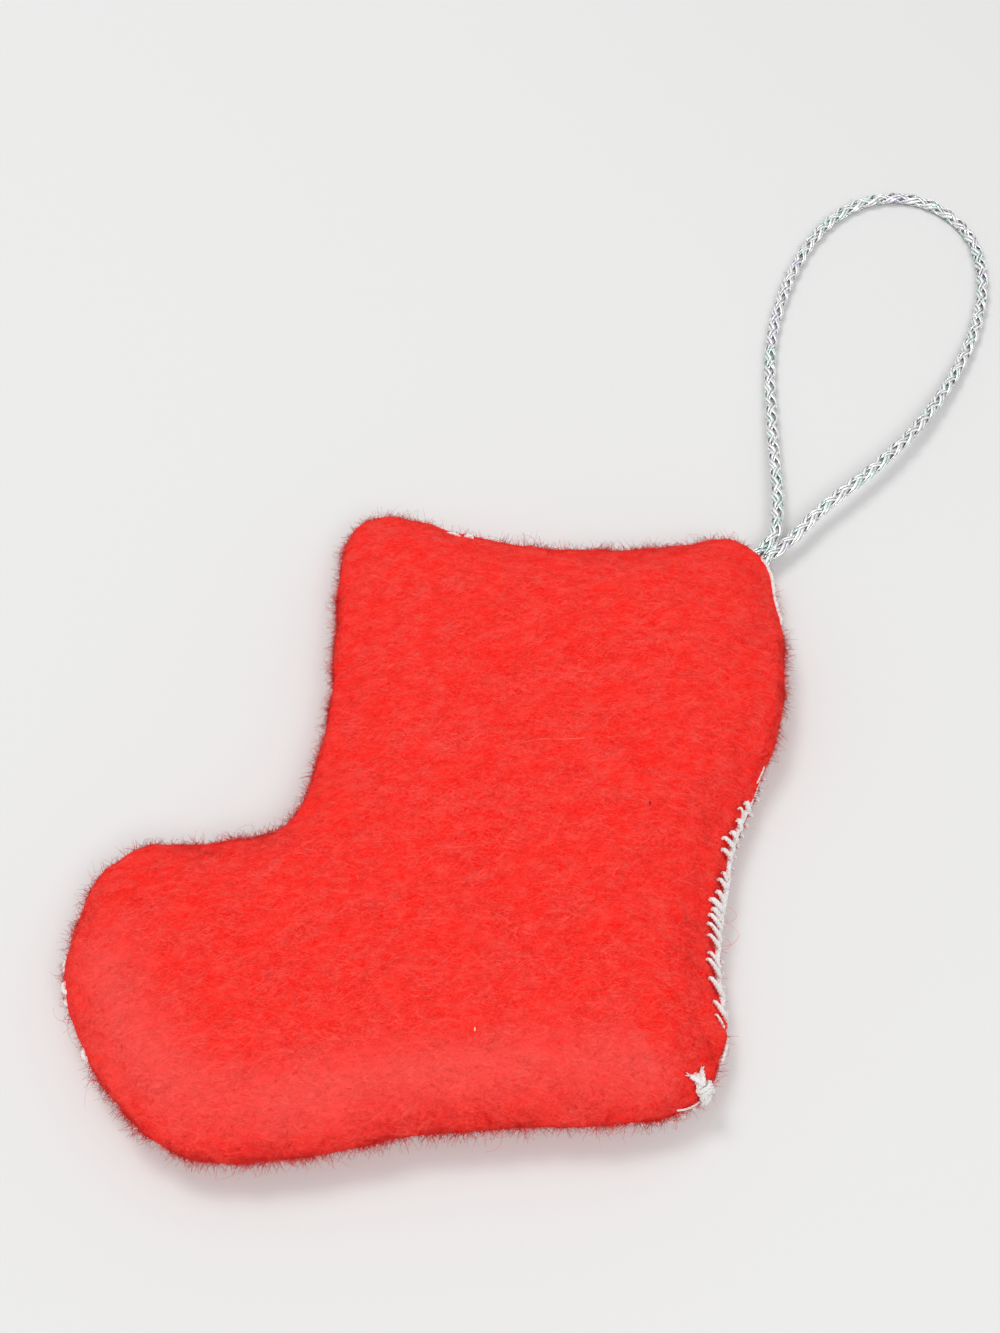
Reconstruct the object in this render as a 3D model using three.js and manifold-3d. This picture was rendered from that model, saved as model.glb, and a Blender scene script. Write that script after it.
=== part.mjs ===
// A felt boot ornament lying on its front: two felt panels sewn together over a loose fibre
// filling, and a braided cord loop that is knotted inside the boot's upper corner.
// Millimetres, +Z up. The toe points along -X and the leg runs up along +Y.
// Z = 0 is the surface that the boot lies on, and the middle of its outline is above the origin.

import * as THREE from 'three';
import { mergeVertices } from 'three/addons/utils/BufferGeometryUtils.js';
import Module from 'manifold-3d';

const wasm = await Module();
wasm.setup();

// Boot, seen from above
const boot_width = 105;
const boot_height = 107;

// Felt panels. The back panel is on top: it rolls over the seam, except where the seam shows.
const felt_thickness = 1.8;
const crown_rise = 3.2; // middle of the back panel above its rolled rim
const belly_drop = 1.0; // middle of the front panel below its sewn margin
const roll_radius = 2.2; // rim of the back panel where it hides the seam
const open_rim_radius = 0.9; // rim of the back panel where the seam shows
const seam_margin = 4.2; // sewn band along the rim
const panel_gap = 0.3; // between the two panels in that band
const cut_edge_round = 0.3; // softened corners of the front panel's cut edge
const roll_angles = [60, 25, -10, -45, -80]; // degrees, from the shoulder down to the seam
const crown_fullness = 3.2; // how fast the crown levels out
const crown_shares = [1, 0.72, 0.45, 0.24, 0.1]; // rings from the crown line to the shoulder
const inside_shares = [0, 0.12, 0.35, 0.65, 1]; // rings from the sewn margin to the crown line
const belly_flat_share = 0.5; // where the front panel has come down flat
const belly_shares = [0, 0.24, belly_flat_share];

// Filling
const filling_clearance = 0.3;
const filling_top_shares = [1, 0.65, 0.35, 0.16];
const filling_edge_share = 0.06;
const filling_bottom_shares = [0.24, belly_flat_share];

// Sewing thread
const thread_diameter = 0.7;
const thread_clearance = 0.15; // from the felt it lies on
const stitch_pitch = 1.9;
const stitch_depth = 1.75; // from the rim in to the stitch holes
const stitch_slant = 1.3; // how far along the rim a stitch leans
const run_gap = 0.5; // between two lengths of thread
const open_seam_angle = -38; // degrees, where the thread lies on an open rim
const tucked_seam_angle = -82; // degrees, where it lies under a rolled rim
const thread_sides = 6;
const lump_sides = 10; // of a knot
const stitch_steps = 5;
// How far along a stitch it passes the shoulder of the felt, and its rim
const stitch_shoulder_share = 0.4;
const stitch_rim_share = 0.75;

// Finishing knot of the thread, at the bottom of the heel
const thread_knot_length = 3.6;
const thread_knot_width = 1.7;
const thread_knot_thickness = 1.4;
const thread_knot_angle = 55; // degrees, where it sits on the rim
// Where the knot's two cut ends reach: along the rim from the knot, and in from the rim
const long_end_along = 0.1;
const long_end_inset = 2.9;
const short_end_along = 2.2;
const short_end_inset = 2.0;

// Hanging cord
const cord_diameter = 1.9;
const cord_clearance = 0.3; // round the parts of it that are inside the boot
const cord_gap = 0.4; // between its two legs, and between its free loop and its tails
const root_reach = 2.8; // from the rim out to the point where the loop bends
const exit_direction = 45; // degrees in plan, from +X
const cord_sides = 8;
const cord_step = 4.6;
const knot_depth = 13; // from the rim in to the middle of the buried knot
const knot_length = 6.2;
const knot_width = 5;
const knot_thickness = 4.4;
const knot_bed = 0.6; // filling under the knot
const knot_end_length = 5.5;
const knot_end_spread = 24; // degrees

// Outline of the boot, counter-clockwise from the top of the leg's front corner.
// Each row: x and y on the rim, x and y on the crown line, and how far the seam is tucked under.
const boot_outline_shares = [
  [0.390, 0.999, 0.581, 0.777, 1],
  [0.346, 0.964, 0.562, 0.759, 1],
  [0.335, 0.883, 0.552, 0.718, 1],
  [0.334, 0.773, 0.548, 0.662, 1],
  [0.334, 0.653, 0.543, 0.589, 1],
  [0.320, 0.561, 0.529, 0.506, 1],
  [0.300, 0.490, 0.500, 0.432, 1],
  [0.262, 0.455, 0.448, 0.373, 1],
  [0.181, 0.439, 0.362, 0.327, 1],
  [0.102, 0.433, 0.286, 0.308, 1],
  [0.043, 0.394, 0.229, 0.290, 1],
  [0.012, 0.316, 0.195, 0.262, 0.9],
  [0.005, 0.239, 0.186, 0.235, 0.8],
  [0.033, 0.165, 0.195, 0.207, 0.8],
  [0.086, 0.087, 0.224, 0.182, 0.9],
  [0.154, 0.025, 0.267, 0.167, 1],
  [0.233, 0.000, 0.324, 0.161, 1],
  [0.343, 0.007, 0.400, 0.162, 1],
  [0.457, 0.030, 0.481, 0.169, 1],
  [0.590, 0.043, 0.567, 0.179, 1],
  [0.724, 0.047, 0.648, 0.190, 1],
  [0.802, 0.063, 0.690, 0.207, 0.5],
  [0.846, 0.107, 0.710, 0.239, 0.2],
  [0.869, 0.175, 0.717, 0.285, 0],
  [0.869, 0.258, 0.719, 0.340, 0],
  [0.878, 0.350, 0.722, 0.405, 0],
  [0.902, 0.446, 0.729, 0.478, 0],
  [0.941, 0.529, 0.743, 0.547, 0.2],
  [0.977, 0.612, 0.757, 0.603, 0.9],
  [0.996, 0.718, 0.765, 0.658, 0.8],
  [0.997, 0.819, 0.765, 0.708, 0.3],
  [0.986, 0.892, 0.757, 0.750, 0.2],
  [0.968, 0.939, 0.746, 0.773, 0.3],
  [0.925, 0.959, 0.724, 0.785, 1],
  [0.844, 0.944, 0.700, 0.789, 1],
  [0.724, 0.936, 0.671, 0.791, 1],
  [0.610, 0.948, 0.643, 0.791, 1],
  [0.514, 0.968, 0.619, 0.789, 1],
  [0.452, 0.994, 0.600, 0.785, 1],
];
const stations_per_point = 2;

// Places on the outline, as row numbers of the table above
const exit_point = 31.95;
const thread_knot_point = 21.7;
const first_stitch_point = 23.0;
const last_stitch_point = 26.6;
const run_ends = { leg_front: 0, toe: 7, sole: 16, heel: 21.9, leg_back: 26.9 };

// Free loop of the cord, from its left leg round to its right one: x, y and the height of the
// cord's underside. The two roots are added at the ends.
const cord_route = [
  [52.8, 52.3, 2.0],
  [53.7, 57.3, 1.8],
  [54.2, 63.7, 1.4],
  [54.4, 71.7, 0.9],
  [54.8, 81.2, 0.4],
  [55.4, 90.7, 0.1],
  [56.8, 100.3, 0.05],
  [59.2, 108.9, 0.05],
  [62.5, 117.3, 0.05],
  [66.7, 124.9, 0.05],
  [71.6, 130.7, 0.05],
  [77.4, 134.4, 0.05],
  [83.6, 135.4, 0.05],
  [89.0, 133.5, 0.05],
  [93.2, 129.3, 0.05],
  [95.6, 123.7, 0.05],
  [96.2, 117.1, 0.05],
  [95.3, 109.5, 0.05],
  [93.0, 101.5, 0.1],
  [89.6, 93.5, 0.4],
  [85.2, 85.5, 0.9],
  [80.6, 78.3, 1.4],
  [75.9, 72.3, 1.8],
  [70.9, 66.9, 2.1],
  [65.8, 62.0, 2.3],
  [60.7, 57.3, 2.3],
  [56.3, 52.4, 2.1],
];

// Sizes that follow from the ones above
const thread_radius = thread_diameter / 2;
const cord_radius = cord_diameter / 2;
const root_spacing = cord_diameter + cord_gap;
const front_margin_level = belly_drop + felt_thickness;
const seam_level = front_margin_level + panel_gap;
const seam_middle_level = front_margin_level + panel_gap / 2;
const crown_level = seam_level + 2 * roll_radius + crown_rise;
const knot_level = felt_thickness + filling_clearance + knot_bed + knot_thickness / 2;

const { lerp, clamp, degToRad: radians } = THREE.MathUtils;

// Stations: places round the outline where the panels' cross-section is worked out
const spot = (x_share, y_share) =>
  new THREE.Vector3((x_share - 0.5) * boot_width, (y_share - 0.5) * boot_height, 0);
const rim_curve = new THREE.CatmullRomCurve3(
  boot_outline_shares.map(([x, y]) => spot(x, y)), true, 'centripetal');
const crown_curve = new THREE.CatmullRomCurve3(
  boot_outline_shares.map(([, , x, y]) => spot(x, y)), true, 'centripetal');
const row_count = boot_outline_shares.length;
const station_count = row_count * stations_per_point;
const stations = [];
for (let i = 0; i < station_count; i += 1) {
  const row = Math.floor(i / stations_per_point);
  const tuck = boot_outline_shares[row].at(-1);
  const next_tuck = boot_outline_shares[(row + 1) % row_count].at(-1);
  stations.push({
    rim: rim_curve.getPoint(i / station_count),
    crown: crown_curve.getPoint(i / station_count),
    tuck: lerp(tuck, next_tuck, i / stations_per_point - row),
  });
}
stations.forEach((station, i) => {
  const before = stations[(i + station_count - 1) % station_count].rim;
  const after = stations[(i + 1) % station_count].rim;
  station.inward = new THREE.Vector2(before.y - after.y, after.x - before.x).normalize();
});

// The station at a row number of the outline, which may lie between two stations
function station_at(point) {
  const at = point * stations_per_point;
  const first = stations[Math.floor(at) % station_count];
  const second = stations[(Math.floor(at) + 1) % station_count];
  const part = at - Math.floor(at);
  return {
    rim: first.rim.clone().lerp(second.rim, part),
    crown: first.crown.clone().lerp(second.crown, part),
    inward: first.inward.clone().lerp(second.inward, part),
    tuck: lerp(first.tuck, second.tuck, part),
  };
}

// Cross-section of the boot at a station
function point_in(station, inset, height) {
  const { rim, inward } = station;
  return new THREE.Vector3(rim.x + inward.x * inset, rim.y + inward.y * inset, height);
}

// A point on the back panel's rim, or off it by a distance, at an angle above the horizontal
function roll_point(station, angle, off = 0) {
  const radius = lerp(open_rim_radius, roll_radius, station.tuck);
  const middle = seam_level - radius * Math.sin(radians(roll_angles.at(-1)));
  const inset = radius - (radius + off) * Math.cos(radians(angle));
  return point_in(station, inset, middle + (radius + off) * Math.sin(radians(angle)));
}

// A point on the back panel's crown, from its shoulder at share 0 to the crown line at share 1
function crown_point(station, share, drop = 0) {
  const shoulder = roll_point(station, roll_angles[0]);
  const rise = 1 - (1 - share) ** crown_fullness;
  return new THREE.Vector3(
    lerp(shoulder.x, station.crown.x, share),
    lerp(shoulder.y, station.crown.y, share),
    lerp(shoulder.z, crown_level, rise) - drop);
}

// The share of the crown that a distance from the rim reaches
function share_at_inset(station, inset) {
  const shoulder = roll_point(station, roll_angles[0]);
  const shoulder_inset = Math.hypot(shoulder.x - station.rim.x, shoulder.y - station.rim.y);
  const reach = Math.hypot(station.crown.x - shoulder.x, station.crown.y - shoulder.y);
  return (inset - shoulder_inset) / reach;
}

// The hollow between the panels, from the sewn margin at share 0 to the crown line at share 1
function hollow_point(station, share, height_at) {
  const crown_share = lerp(share_at_inset(station, seam_margin), 1, share);
  const point = crown_point(station, crown_share, felt_thickness);
  if (height_at !== undefined) {
    point.z = height_at(share);
  }
  return point;
}

const belly_height = (share) =>
  belly_drop * Math.max(1 - share / belly_flat_share, 0) ** 2;

// Where the thread lies against the rim
const seam_angle = (tuck) => lerp(open_seam_angle, tucked_seam_angle, tuck);
const thread_point = (station) =>
  roll_point(station, seam_angle(station.tuck), thread_radius + thread_clearance);

function front_edge_inset(station) {
  const thread = thread_point(station);
  const outward = new THREE.Vector2(thread.x - station.rim.x, thread.y - station.rim.y);
  return outward.dot(station.inward) + thread_radius + thread_clearance;
}

// Solids
function as_manifold(geometry) {
  const bare = geometry.clone();
  bare.deleteAttribute('normal');
  bare.deleteAttribute('uv');
  const merged = mergeVertices(bare);
  return new wasm.Manifold(new wasm.Mesh({
    numProp: 3,
    vertProperties: new Float32Array(merged.getAttribute('position').array),
    triVerts: new Uint32Array(merged.getIndex().array),
  }));
}

function as_geometry(manifold) {
  const mesh = manifold.getMesh();
  const geometry = new THREE.BufferGeometry();
  geometry.setAttribute('position', new THREE.BufferAttribute(mesh.vertProperties, 3));
  geometry.setIndex(new THREE.BufferAttribute(mesh.triVerts, 1));
  geometry.computeVertexNormals();
  return geometry;
}

// A closed solid through rings of points, from its top cap down and round to its bottom cap
function ring_solid(rings) {
  const count = rings[0].length;
  const index = [];
  for (let ring = 0; ring < rings.length - 1; ring += 1) {
    for (let i = 0; i < count; i += 1) {
      const next = (i + 1) % count;
      const [a, b] = [ring * count + i, ring * count + next];
      const [c, d] = [a + count, b + count];
      index.push(a, c, d, a, d, b);
    }
  }
  const cap = (ring) => THREE.ShapeUtils.triangulateShape(
    ring.map((point) => new THREE.Vector2(point.x, point.y)), []);
  cap(rings[0]).forEach(([a, b, c]) => index.push(a, b, c));
  const last = count * (rings.length - 1);
  cap(rings.at(-1)).forEach(([a, b, c]) => index.push(last + a, last + c, last + b));
  const geometry = new THREE.BufferGeometry().setFromPoints(rings.flat());
  geometry.setIndex(index);
  geometry.computeVertexNormals();
  return geometry;
}

function round_section(radius, sides) {
  const corners = [];
  for (let i = 0; i < sides; i += 1) {
    const turn = (2 * Math.PI * i) / sides;
    corners.push(new THREE.Vector2(radius * Math.cos(turn), radius * Math.sin(turn)));
  }
  return new THREE.Shape(corners);
}

function swept_tube(path, radius, sides, steps) {
  return as_manifold(new THREE.ExtrudeGeometry(round_section(radius, sides), {
    steps, extrudePath: path, bevelEnabled: false,
  }));
}

function ball(centre, radius, sides) {
  const geometry = new THREE.SphereGeometry(radius, sides, sides);
  geometry.translate(centre.x, centre.y, centre.z);
  return as_manifold(geometry);
}

// An egg-shaped lump with its length along one direction and its thickness along another
function lump(centre, along, up, length, width, thickness) {
  const side = new THREE.Vector3().crossVectors(up, along);
  const geometry = new THREE.SphereGeometry(1, lump_sides, lump_sides);
  geometry.scale(length / 2, width / 2, thickness / 2);
  geometry.applyMatrix4(new THREE.Matrix4().makeBasis(along, side, up).setPosition(centre));
  return as_manifold(geometry);
}

// A path of straight pieces that passes exactly through its points
class StraightPieces extends THREE.Curve {
  constructor(points) {
    super();
    this.points = points;
  }

  getPoint(t, target = new THREE.Vector3()) {
    const at = clamp(t, 0, 1) * (this.points.length - 1);
    const first = Math.min(Math.floor(at), this.points.length - 2);
    return target.lerpVectors(this.points[first], this.points[first + 1], at - first);
  }

  getPointAt(t, target) {
    return this.getPoint(t, target);
  }

  getTangentAt(t, target) {
    return this.getTangent(t, target);
  }
}

// Felt panels and the filling between them
function back_panel_geometry() {
  const rings = crown_shares.map((share) => stations.map((s) => crown_point(s, share)));
  roll_angles.forEach((angle) => rings.push(stations.map((s) => roll_point(s, angle))));
  const [margin_share, ...shares] = inside_shares;
  rings.push(stations.map((s) => hollow_point(s, margin_share, () => seam_level)));
  shares.forEach((share) => rings.push(stations.map((s) => hollow_point(s, share))));
  return ring_solid(rings);
}

function front_panel_geometry() {
  const inner = (share) => belly_height(share) + felt_thickness;
  const edge = (extra, height) =>
    stations.map((s) => point_in(s, front_edge_inset(s) + extra, height));
  const rings = belly_shares.toReversed().map(
    (share) => stations.map((s) => hollow_point(s, share, inner)));
  rings.push(edge(cut_edge_round, front_margin_level));
  rings.push(edge(0, front_margin_level - cut_edge_round));
  rings.push(edge(0, belly_drop + cut_edge_round));
  rings.push(edge(cut_edge_round, belly_drop));
  belly_shares.forEach(
    (share) => rings.push(stations.map((s) => hollow_point(s, share, belly_height))));
  return ring_solid(rings);
}

function filling_geometry() {
  const under = (share) => belly_height(share) + felt_thickness + filling_clearance;
  const rings = filling_top_shares.map((share) => stations.map((s) => {
    const point = hollow_point(s, share);
    point.z -= filling_clearance;
    return point;
  }));
  rings.push(stations.map((s) => hollow_point(s, filling_edge_share, () => seam_level)));
  filling_bottom_shares.forEach(
    (share) => rings.push(stations.map((s) => hollow_point(s, share, under))));
  return ring_solid(rings);
}

// Hanging cord
const outward = new THREE.Vector3(
  Math.cos(radians(exit_direction)), Math.sin(radians(exit_direction)), 0);
const across = new THREE.Vector3(-outward.y, outward.x, 0);
const exit_rim = point_in(station_at(exit_point), 0, seam_middle_level);
const bend_middle = exit_rim.clone().addScaledVector(outward, root_reach);
const root_at = (side) => bend_middle.clone().addScaledVector(across, (side * root_spacing) / 2);

function loop_points() {
  const free = cord_route.map(([x, y, under]) => new THREE.Vector3(x, y, under + cord_radius));
  return [root_at(1), ...free, root_at(-1)];
}

// The free loop, with round ends at its two roots
function hanger_cord_solid() {
  const path = new THREE.CatmullRomCurve3(loop_points(), false, 'centripetal');
  const steps = Math.round(path.getLength() / cord_step);
  const tube = swept_tube(path, cord_radius, cord_sides, steps);
  return tube
    .add(ball(root_at(1), cord_radius, cord_sides))
    .add(ball(root_at(-1), cord_radius, cord_sides));
}

// The two tails that pass between the panels, the knot that holds them, and its cut ends
function hanger_knot_solid(grown) {
  const radius = cord_radius + grown;
  const middle = exit_rim.clone().addScaledVector(outward, -knot_depth).setZ(knot_level);
  let solid = lump(middle, outward, new THREE.Vector3(0, 0, 1),
    knot_length + 2 * grown, knot_width + 2 * grown, knot_thickness + 2 * grown);
  [1, -1].forEach((side) => {
    const tip = root_at(side).addScaledVector(outward, -(cord_diameter + cord_gap));
    const sewn = exit_rim.clone().addScaledVector(across, (side * root_spacing) / 2)
      .addScaledVector(outward, -seam_margin);
    const entry = middle.clone().addScaledVector(across, (side * cord_radius) / 2);
    const tail = new THREE.CatmullRomCurve3([tip, sewn, entry], false, 'centripetal');
    const steps = Math.round(tail.getLength() / cord_step) * 2;
    const spread = outward.clone()
      .applyAxisAngle(new THREE.Vector3(0, 0, 1), radians(side * -knot_end_spread));
    const end = middle.clone().addScaledVector(spread, -(knot_length / 2 + knot_end_length));
    solid = solid
      .add(swept_tube(tail, radius, cord_sides, steps))
      .add(ball(tip, radius, cord_sides))
      .add(swept_tube(new THREE.LineCurve3(middle, end), radius, cord_sides, 1));
  });
  return solid;
}

// Sewing thread

// The row number that lies a distance along the rim from another row number
function point_along(point, distance) {
  const step = 1 / stations_per_point;
  const here = station_at(point).rim;
  const spacing = here.distanceTo(station_at(point + step).rim);
  return point + (distance / spacing) * step;
}

function purl_points(from, to) {
  const points = [thread_point(station_at(from))];
  for (let i = Math.floor(from * stations_per_point) + 1; i < to * stations_per_point; i += 1) {
    points.push(thread_point(stations[i % station_count]));
  }
  points.push(thread_point(station_at(to)));
  return points;
}

function purl_solid(from, to) {
  const points = purl_points(from, to);
  return swept_tube(new StraightPieces(points), thread_radius, thread_sides, points.length - 1);
}

// One stitch over the rim, from its hole in the back panel to the thread along the rim
function stitch_solid(hole_point) {
  const off = thread_radius + thread_clearance;
  const foot_point = point_along(hole_point, -stitch_slant);
  const between = (part) => station_at(lerp(hole_point, foot_point, part));
  const hole = between(0);
  const start = crown_point(hole, share_at_inset(hole, stitch_depth), -off);
  const path = new THREE.CatmullRomCurve3([
    start,
    roll_point(between(stitch_shoulder_share), roll_angles[0], off),
    roll_point(between(stitch_rim_share), 0, off),
    thread_point(between(1)),
  ], false, 'centripetal');
  return swept_tube(path, thread_radius, thread_sides, stitch_steps);
}

function heel_thread_solid(from, to) {
  let solid = purl_solid(from, to);
  let hole = last_stitch_point;
  while (hole > first_stitch_point) {
    solid = solid.add(stitch_solid(hole));
    hole = point_along(hole, -stitch_pitch);
  }
  return solid;
}

function finishing_knot_solid() {
  const station = station_at(thread_knot_point);
  const along = new THREE.Vector3(-station.inward.y, station.inward.x, 0).normalize();
  const off = thread_knot_thickness / 2 + thread_clearance;
  const middle = roll_point(station, thread_knot_angle, off);
  const foot = roll_point(station, thread_knot_angle);
  const up = middle.clone().sub(foot).normalize();
  let solid = lump(middle, along, up,
    thread_knot_length, thread_knot_width, thread_knot_thickness);
  const ends = [[long_end_along, long_end_inset], [short_end_along, short_end_inset]];
  ends.forEach(([distance, inset]) => {
    const beside = station_at(point_along(thread_knot_point, distance));
    const clear = thread_radius + thread_clearance;
    const tip = crown_point(beside, share_at_inset(beside, inset), -clear);
    solid = solid.add(
      swept_tube(new THREE.LineCurve3(middle, tip), thread_radius, thread_sides, 1));
  });
  return solid;
}

// Assembly
const red_felt = () =>
  new THREE.MeshStandardMaterial({ color: 0xfa3b35, roughness: 1, metalness: 0 });
const white_fibre = () =>
  new THREE.MeshStandardMaterial({ color: 0xf1efe9, roughness: 1, metalness: 0 });
const white_thread = () =>
  new THREE.MeshStandardMaterial({ color: 0xf3f1f0, roughness: 0.8, metalness: 0 });
const silver_cord = () =>
  new THREE.MeshStandardMaterial({ color: 0xc9d2d4, roughness: 0.3, metalness: 0.8 });

const ornament = new THREE.Group();
function add_part(name, geometry, material) {
  const mesh = new THREE.Mesh(geometry, material);
  mesh.name = name;
  ornament.add(mesh);
}

const tail_room = hanger_knot_solid(cord_clearance);
const cut_for_tails = (geometry) => as_geometry(as_manifold(geometry).subtract(tail_room));

add_part('back_panel', cut_for_tails(back_panel_geometry()), red_felt());
add_part('front_panel', cut_for_tails(front_panel_geometry()), red_felt());
add_part('filling', cut_for_tails(filling_geometry()), white_fibre());
add_part('hanger_cord', as_geometry(hanger_cord_solid()), silver_cord());
add_part('hanger_knot', as_geometry(hanger_knot_solid(0)), silver_cord());

// The seam is sewn in several lengths of thread. The cord's tails part the last one from the first.
const tail_room_width = root_spacing / 2 + cord_radius + thread_radius + cord_clearance;
const before_tails = point_along(exit_point, -tail_room_width);
const after_tails = point_along(exit_point, tail_room_width);
const run_start = (point) => point_along(point, run_gap / 2);
const run_end = (point) => point_along(point, -run_gap / 2);
const { leg_front, toe, sole, heel, leg_back } = run_ends;
const runs = {
  seam_thread_leg_front: purl_solid(run_start(leg_front), run_end(toe)),
  seam_thread_toe: purl_solid(run_start(toe), run_end(sole)),
  seam_thread_sole: purl_solid(run_start(sole), run_end(heel)),
  seam_thread_heel: heel_thread_solid(run_start(heel), run_end(leg_back)),
  seam_thread_leg_back: purl_solid(run_start(leg_back), before_tails),
  seam_thread_top: purl_solid(after_tails, run_end(row_count + leg_front)),
};
Object.entries(runs).forEach(
  ([name, solid]) => add_part(name, as_geometry(solid), white_thread()));
add_part('finishing_knot', as_geometry(finishing_knot_solid()), white_thread());

export default ornament;
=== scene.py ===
"""Looks of a felt boot ornament with a braided hanging loop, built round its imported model.

Metres, +Z up. The boot lies on its front on Z = 0, with its toe towards -X and its leg along +Y.
"""

import itertools
import logging
import math
from collections.abc import Callable, Sequence
from dataclasses import dataclass, field
from enum import Enum

import bmesh
import bpy
import numpy as np
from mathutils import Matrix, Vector
from mathutils.bvhtree import BVHTree
from mathutils.geometry import delaunay_2d_cdt


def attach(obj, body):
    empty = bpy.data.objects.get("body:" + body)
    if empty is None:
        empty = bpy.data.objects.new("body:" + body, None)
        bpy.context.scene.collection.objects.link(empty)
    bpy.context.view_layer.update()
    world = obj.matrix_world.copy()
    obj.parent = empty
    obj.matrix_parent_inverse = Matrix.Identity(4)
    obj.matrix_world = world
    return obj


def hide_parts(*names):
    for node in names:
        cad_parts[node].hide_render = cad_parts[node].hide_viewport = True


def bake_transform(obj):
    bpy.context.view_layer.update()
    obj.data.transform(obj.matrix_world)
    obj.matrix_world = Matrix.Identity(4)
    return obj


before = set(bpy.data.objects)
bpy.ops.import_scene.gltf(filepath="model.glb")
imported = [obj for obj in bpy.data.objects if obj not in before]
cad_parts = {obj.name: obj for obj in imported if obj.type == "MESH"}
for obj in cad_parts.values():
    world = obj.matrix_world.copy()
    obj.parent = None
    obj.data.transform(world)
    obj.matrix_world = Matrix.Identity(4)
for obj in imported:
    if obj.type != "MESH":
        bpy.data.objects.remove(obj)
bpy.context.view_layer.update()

log = logging.getLogger("boot_ornament")

Array = np.ndarray
Values = Array | float
Rows = Sequence[tuple[float, ...]]
Colour = tuple[float, float, float]
Material = bpy.types.Material
Piece = bpy.types.Object
Socket = bpy.types.NodeSocket
PointRule = Callable[[np.ndarray, np.ndarray], np.ndarray]

THOUSANDTHS = 1000
TENTHS = 10000  # of a millimetre, in a metre
UP = np.array([0.0, 0.0, 1.0])

# Outline of the boot, counter-clockwise from the top of the leg's front corner.
# Each row: x and y on the rim, x and y on the crown line, as shares of the boot's width and height,
# and how far the seam is tucked under. All are in thousandths.
BOOT_OUTLINE = (
    (390, 999, 581, 777, 1000), (346, 964, 562, 759, 1000), (335, 883, 552, 718, 1000),
    (334, 773, 548, 662, 1000), (334, 653, 543, 589, 1000), (320, 561, 529, 506, 1000),
    (300, 490, 500, 432, 1000), (262, 455, 448, 373, 1000), (181, 439, 362, 327, 1000),
    (102, 433, 286, 308, 1000), (43, 394, 229, 290, 1000), (12, 316, 195, 262, 900),
    (5, 239, 186, 235, 800), (33, 165, 195, 207, 800), (86, 87, 224, 182, 900),
    (154, 25, 267, 167, 1000), (233, 0, 324, 161, 1000), (343, 7, 400, 162, 1000),
    (457, 30, 481, 169, 1000), (590, 43, 567, 179, 1000), (724, 47, 648, 190, 1000),
    (802, 63, 690, 207, 500), (846, 107, 710, 239, 200), (869, 175, 717, 285, 0),
    (869, 258, 719, 340, 0), (878, 350, 722, 405, 0), (902, 446, 729, 478, 0),
    (941, 529, 743, 547, 200), (977, 612, 757, 603, 900), (996, 718, 765, 658, 800),
    (997, 819, 765, 708, 300), (986, 892, 757, 750, 200), (968, 939, 746, 773, 300),
    (925, 959, 724, 785, 1000), (844, 944, 700, 789, 1000), (724, 936, 671, 791, 1000),
    (610, 948, 643, 791, 1000), (514, 968, 619, 789, 1000), (452, 994, 600, 785, 1000),
)

# Free loop of the cord, from its left leg round to its right one: x, y and its underside's height,
# in tenths of a millimetre.
CORD_ROUTE = (
    (528, 523, 20), (537, 573, 18), (542, 637, 14), (544, 717, 9), (548, 812, 4),
    (554, 907, 1), (568, 1003, 0.5), (592, 1089, 0.5), (625, 1173, 0.5), (667, 1249, 0.5),
    (716, 1307, 0.5), (774, 1344, 0.5), (836, 1354, 0.5), (890, 1335, 0.5), (932, 1293, 0.5),
    (956, 1237, 0.5), (962, 1171, 0.5), (953, 1095, 0.5), (930, 1015, 1), (896, 935, 4),
    (852, 855, 9), (806, 783, 14), (759, 723, 18), (709, 669, 21), (658, 620, 23),
    (607, 573, 23), (563, 524, 21),
)


class Body(Enum):
    """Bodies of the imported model."""

    BOOT = "boot"
    HANGER = "hanger"


class Slot(Enum):
    """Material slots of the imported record."""

    FELT = "red_felt"
    FILLING = "white_filling"
    THREAD = "white_thread"
    BRAID = "silver_braid"


class Noise:
    """Smooth seeded noise in space, from -1 to 1."""

    CELLS = 32

    def __init__(self, seed: int) -> None:
        """Draws the noise's lattice, the same on each run."""
        self.lattice = np.random.default_rng(seed).uniform(-1.0, 1.0, (self.CELLS,) * 3)

    def at(self, points: Array, size: float) -> Array:
        """Noise at points.

        Args:
            points: The places, n by 3.
            size: The length of one swell.

        Returns:
            n values.
        """
        scaled = points / size
        cell = np.floor(scaled).astype(int)
        part = scaled - cell
        ease = part * part * (3 - 2 * part)
        total = np.zeros(len(points))
        for corner in itertools.product((0, 1), repeat=3):
            weight = np.prod(np.where(corner, ease, 1 - ease), axis=1)
            x, y, z = ((cell + corner) % self.CELLS).T
            total += weight * self.lattice[x, y, z]
        return total


def unit(vectors: Array) -> Array:
    """Vectors at length 1, along the last axis."""
    return vectors / np.maximum(np.linalg.norm(vectors, axis=-1, keepdims=True), 1e-12)


def mix(start: Values, end: Values, part: Values) -> Values:
    """The value that lies a part of the way from start to end."""
    return start + (end - start) * part


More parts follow.
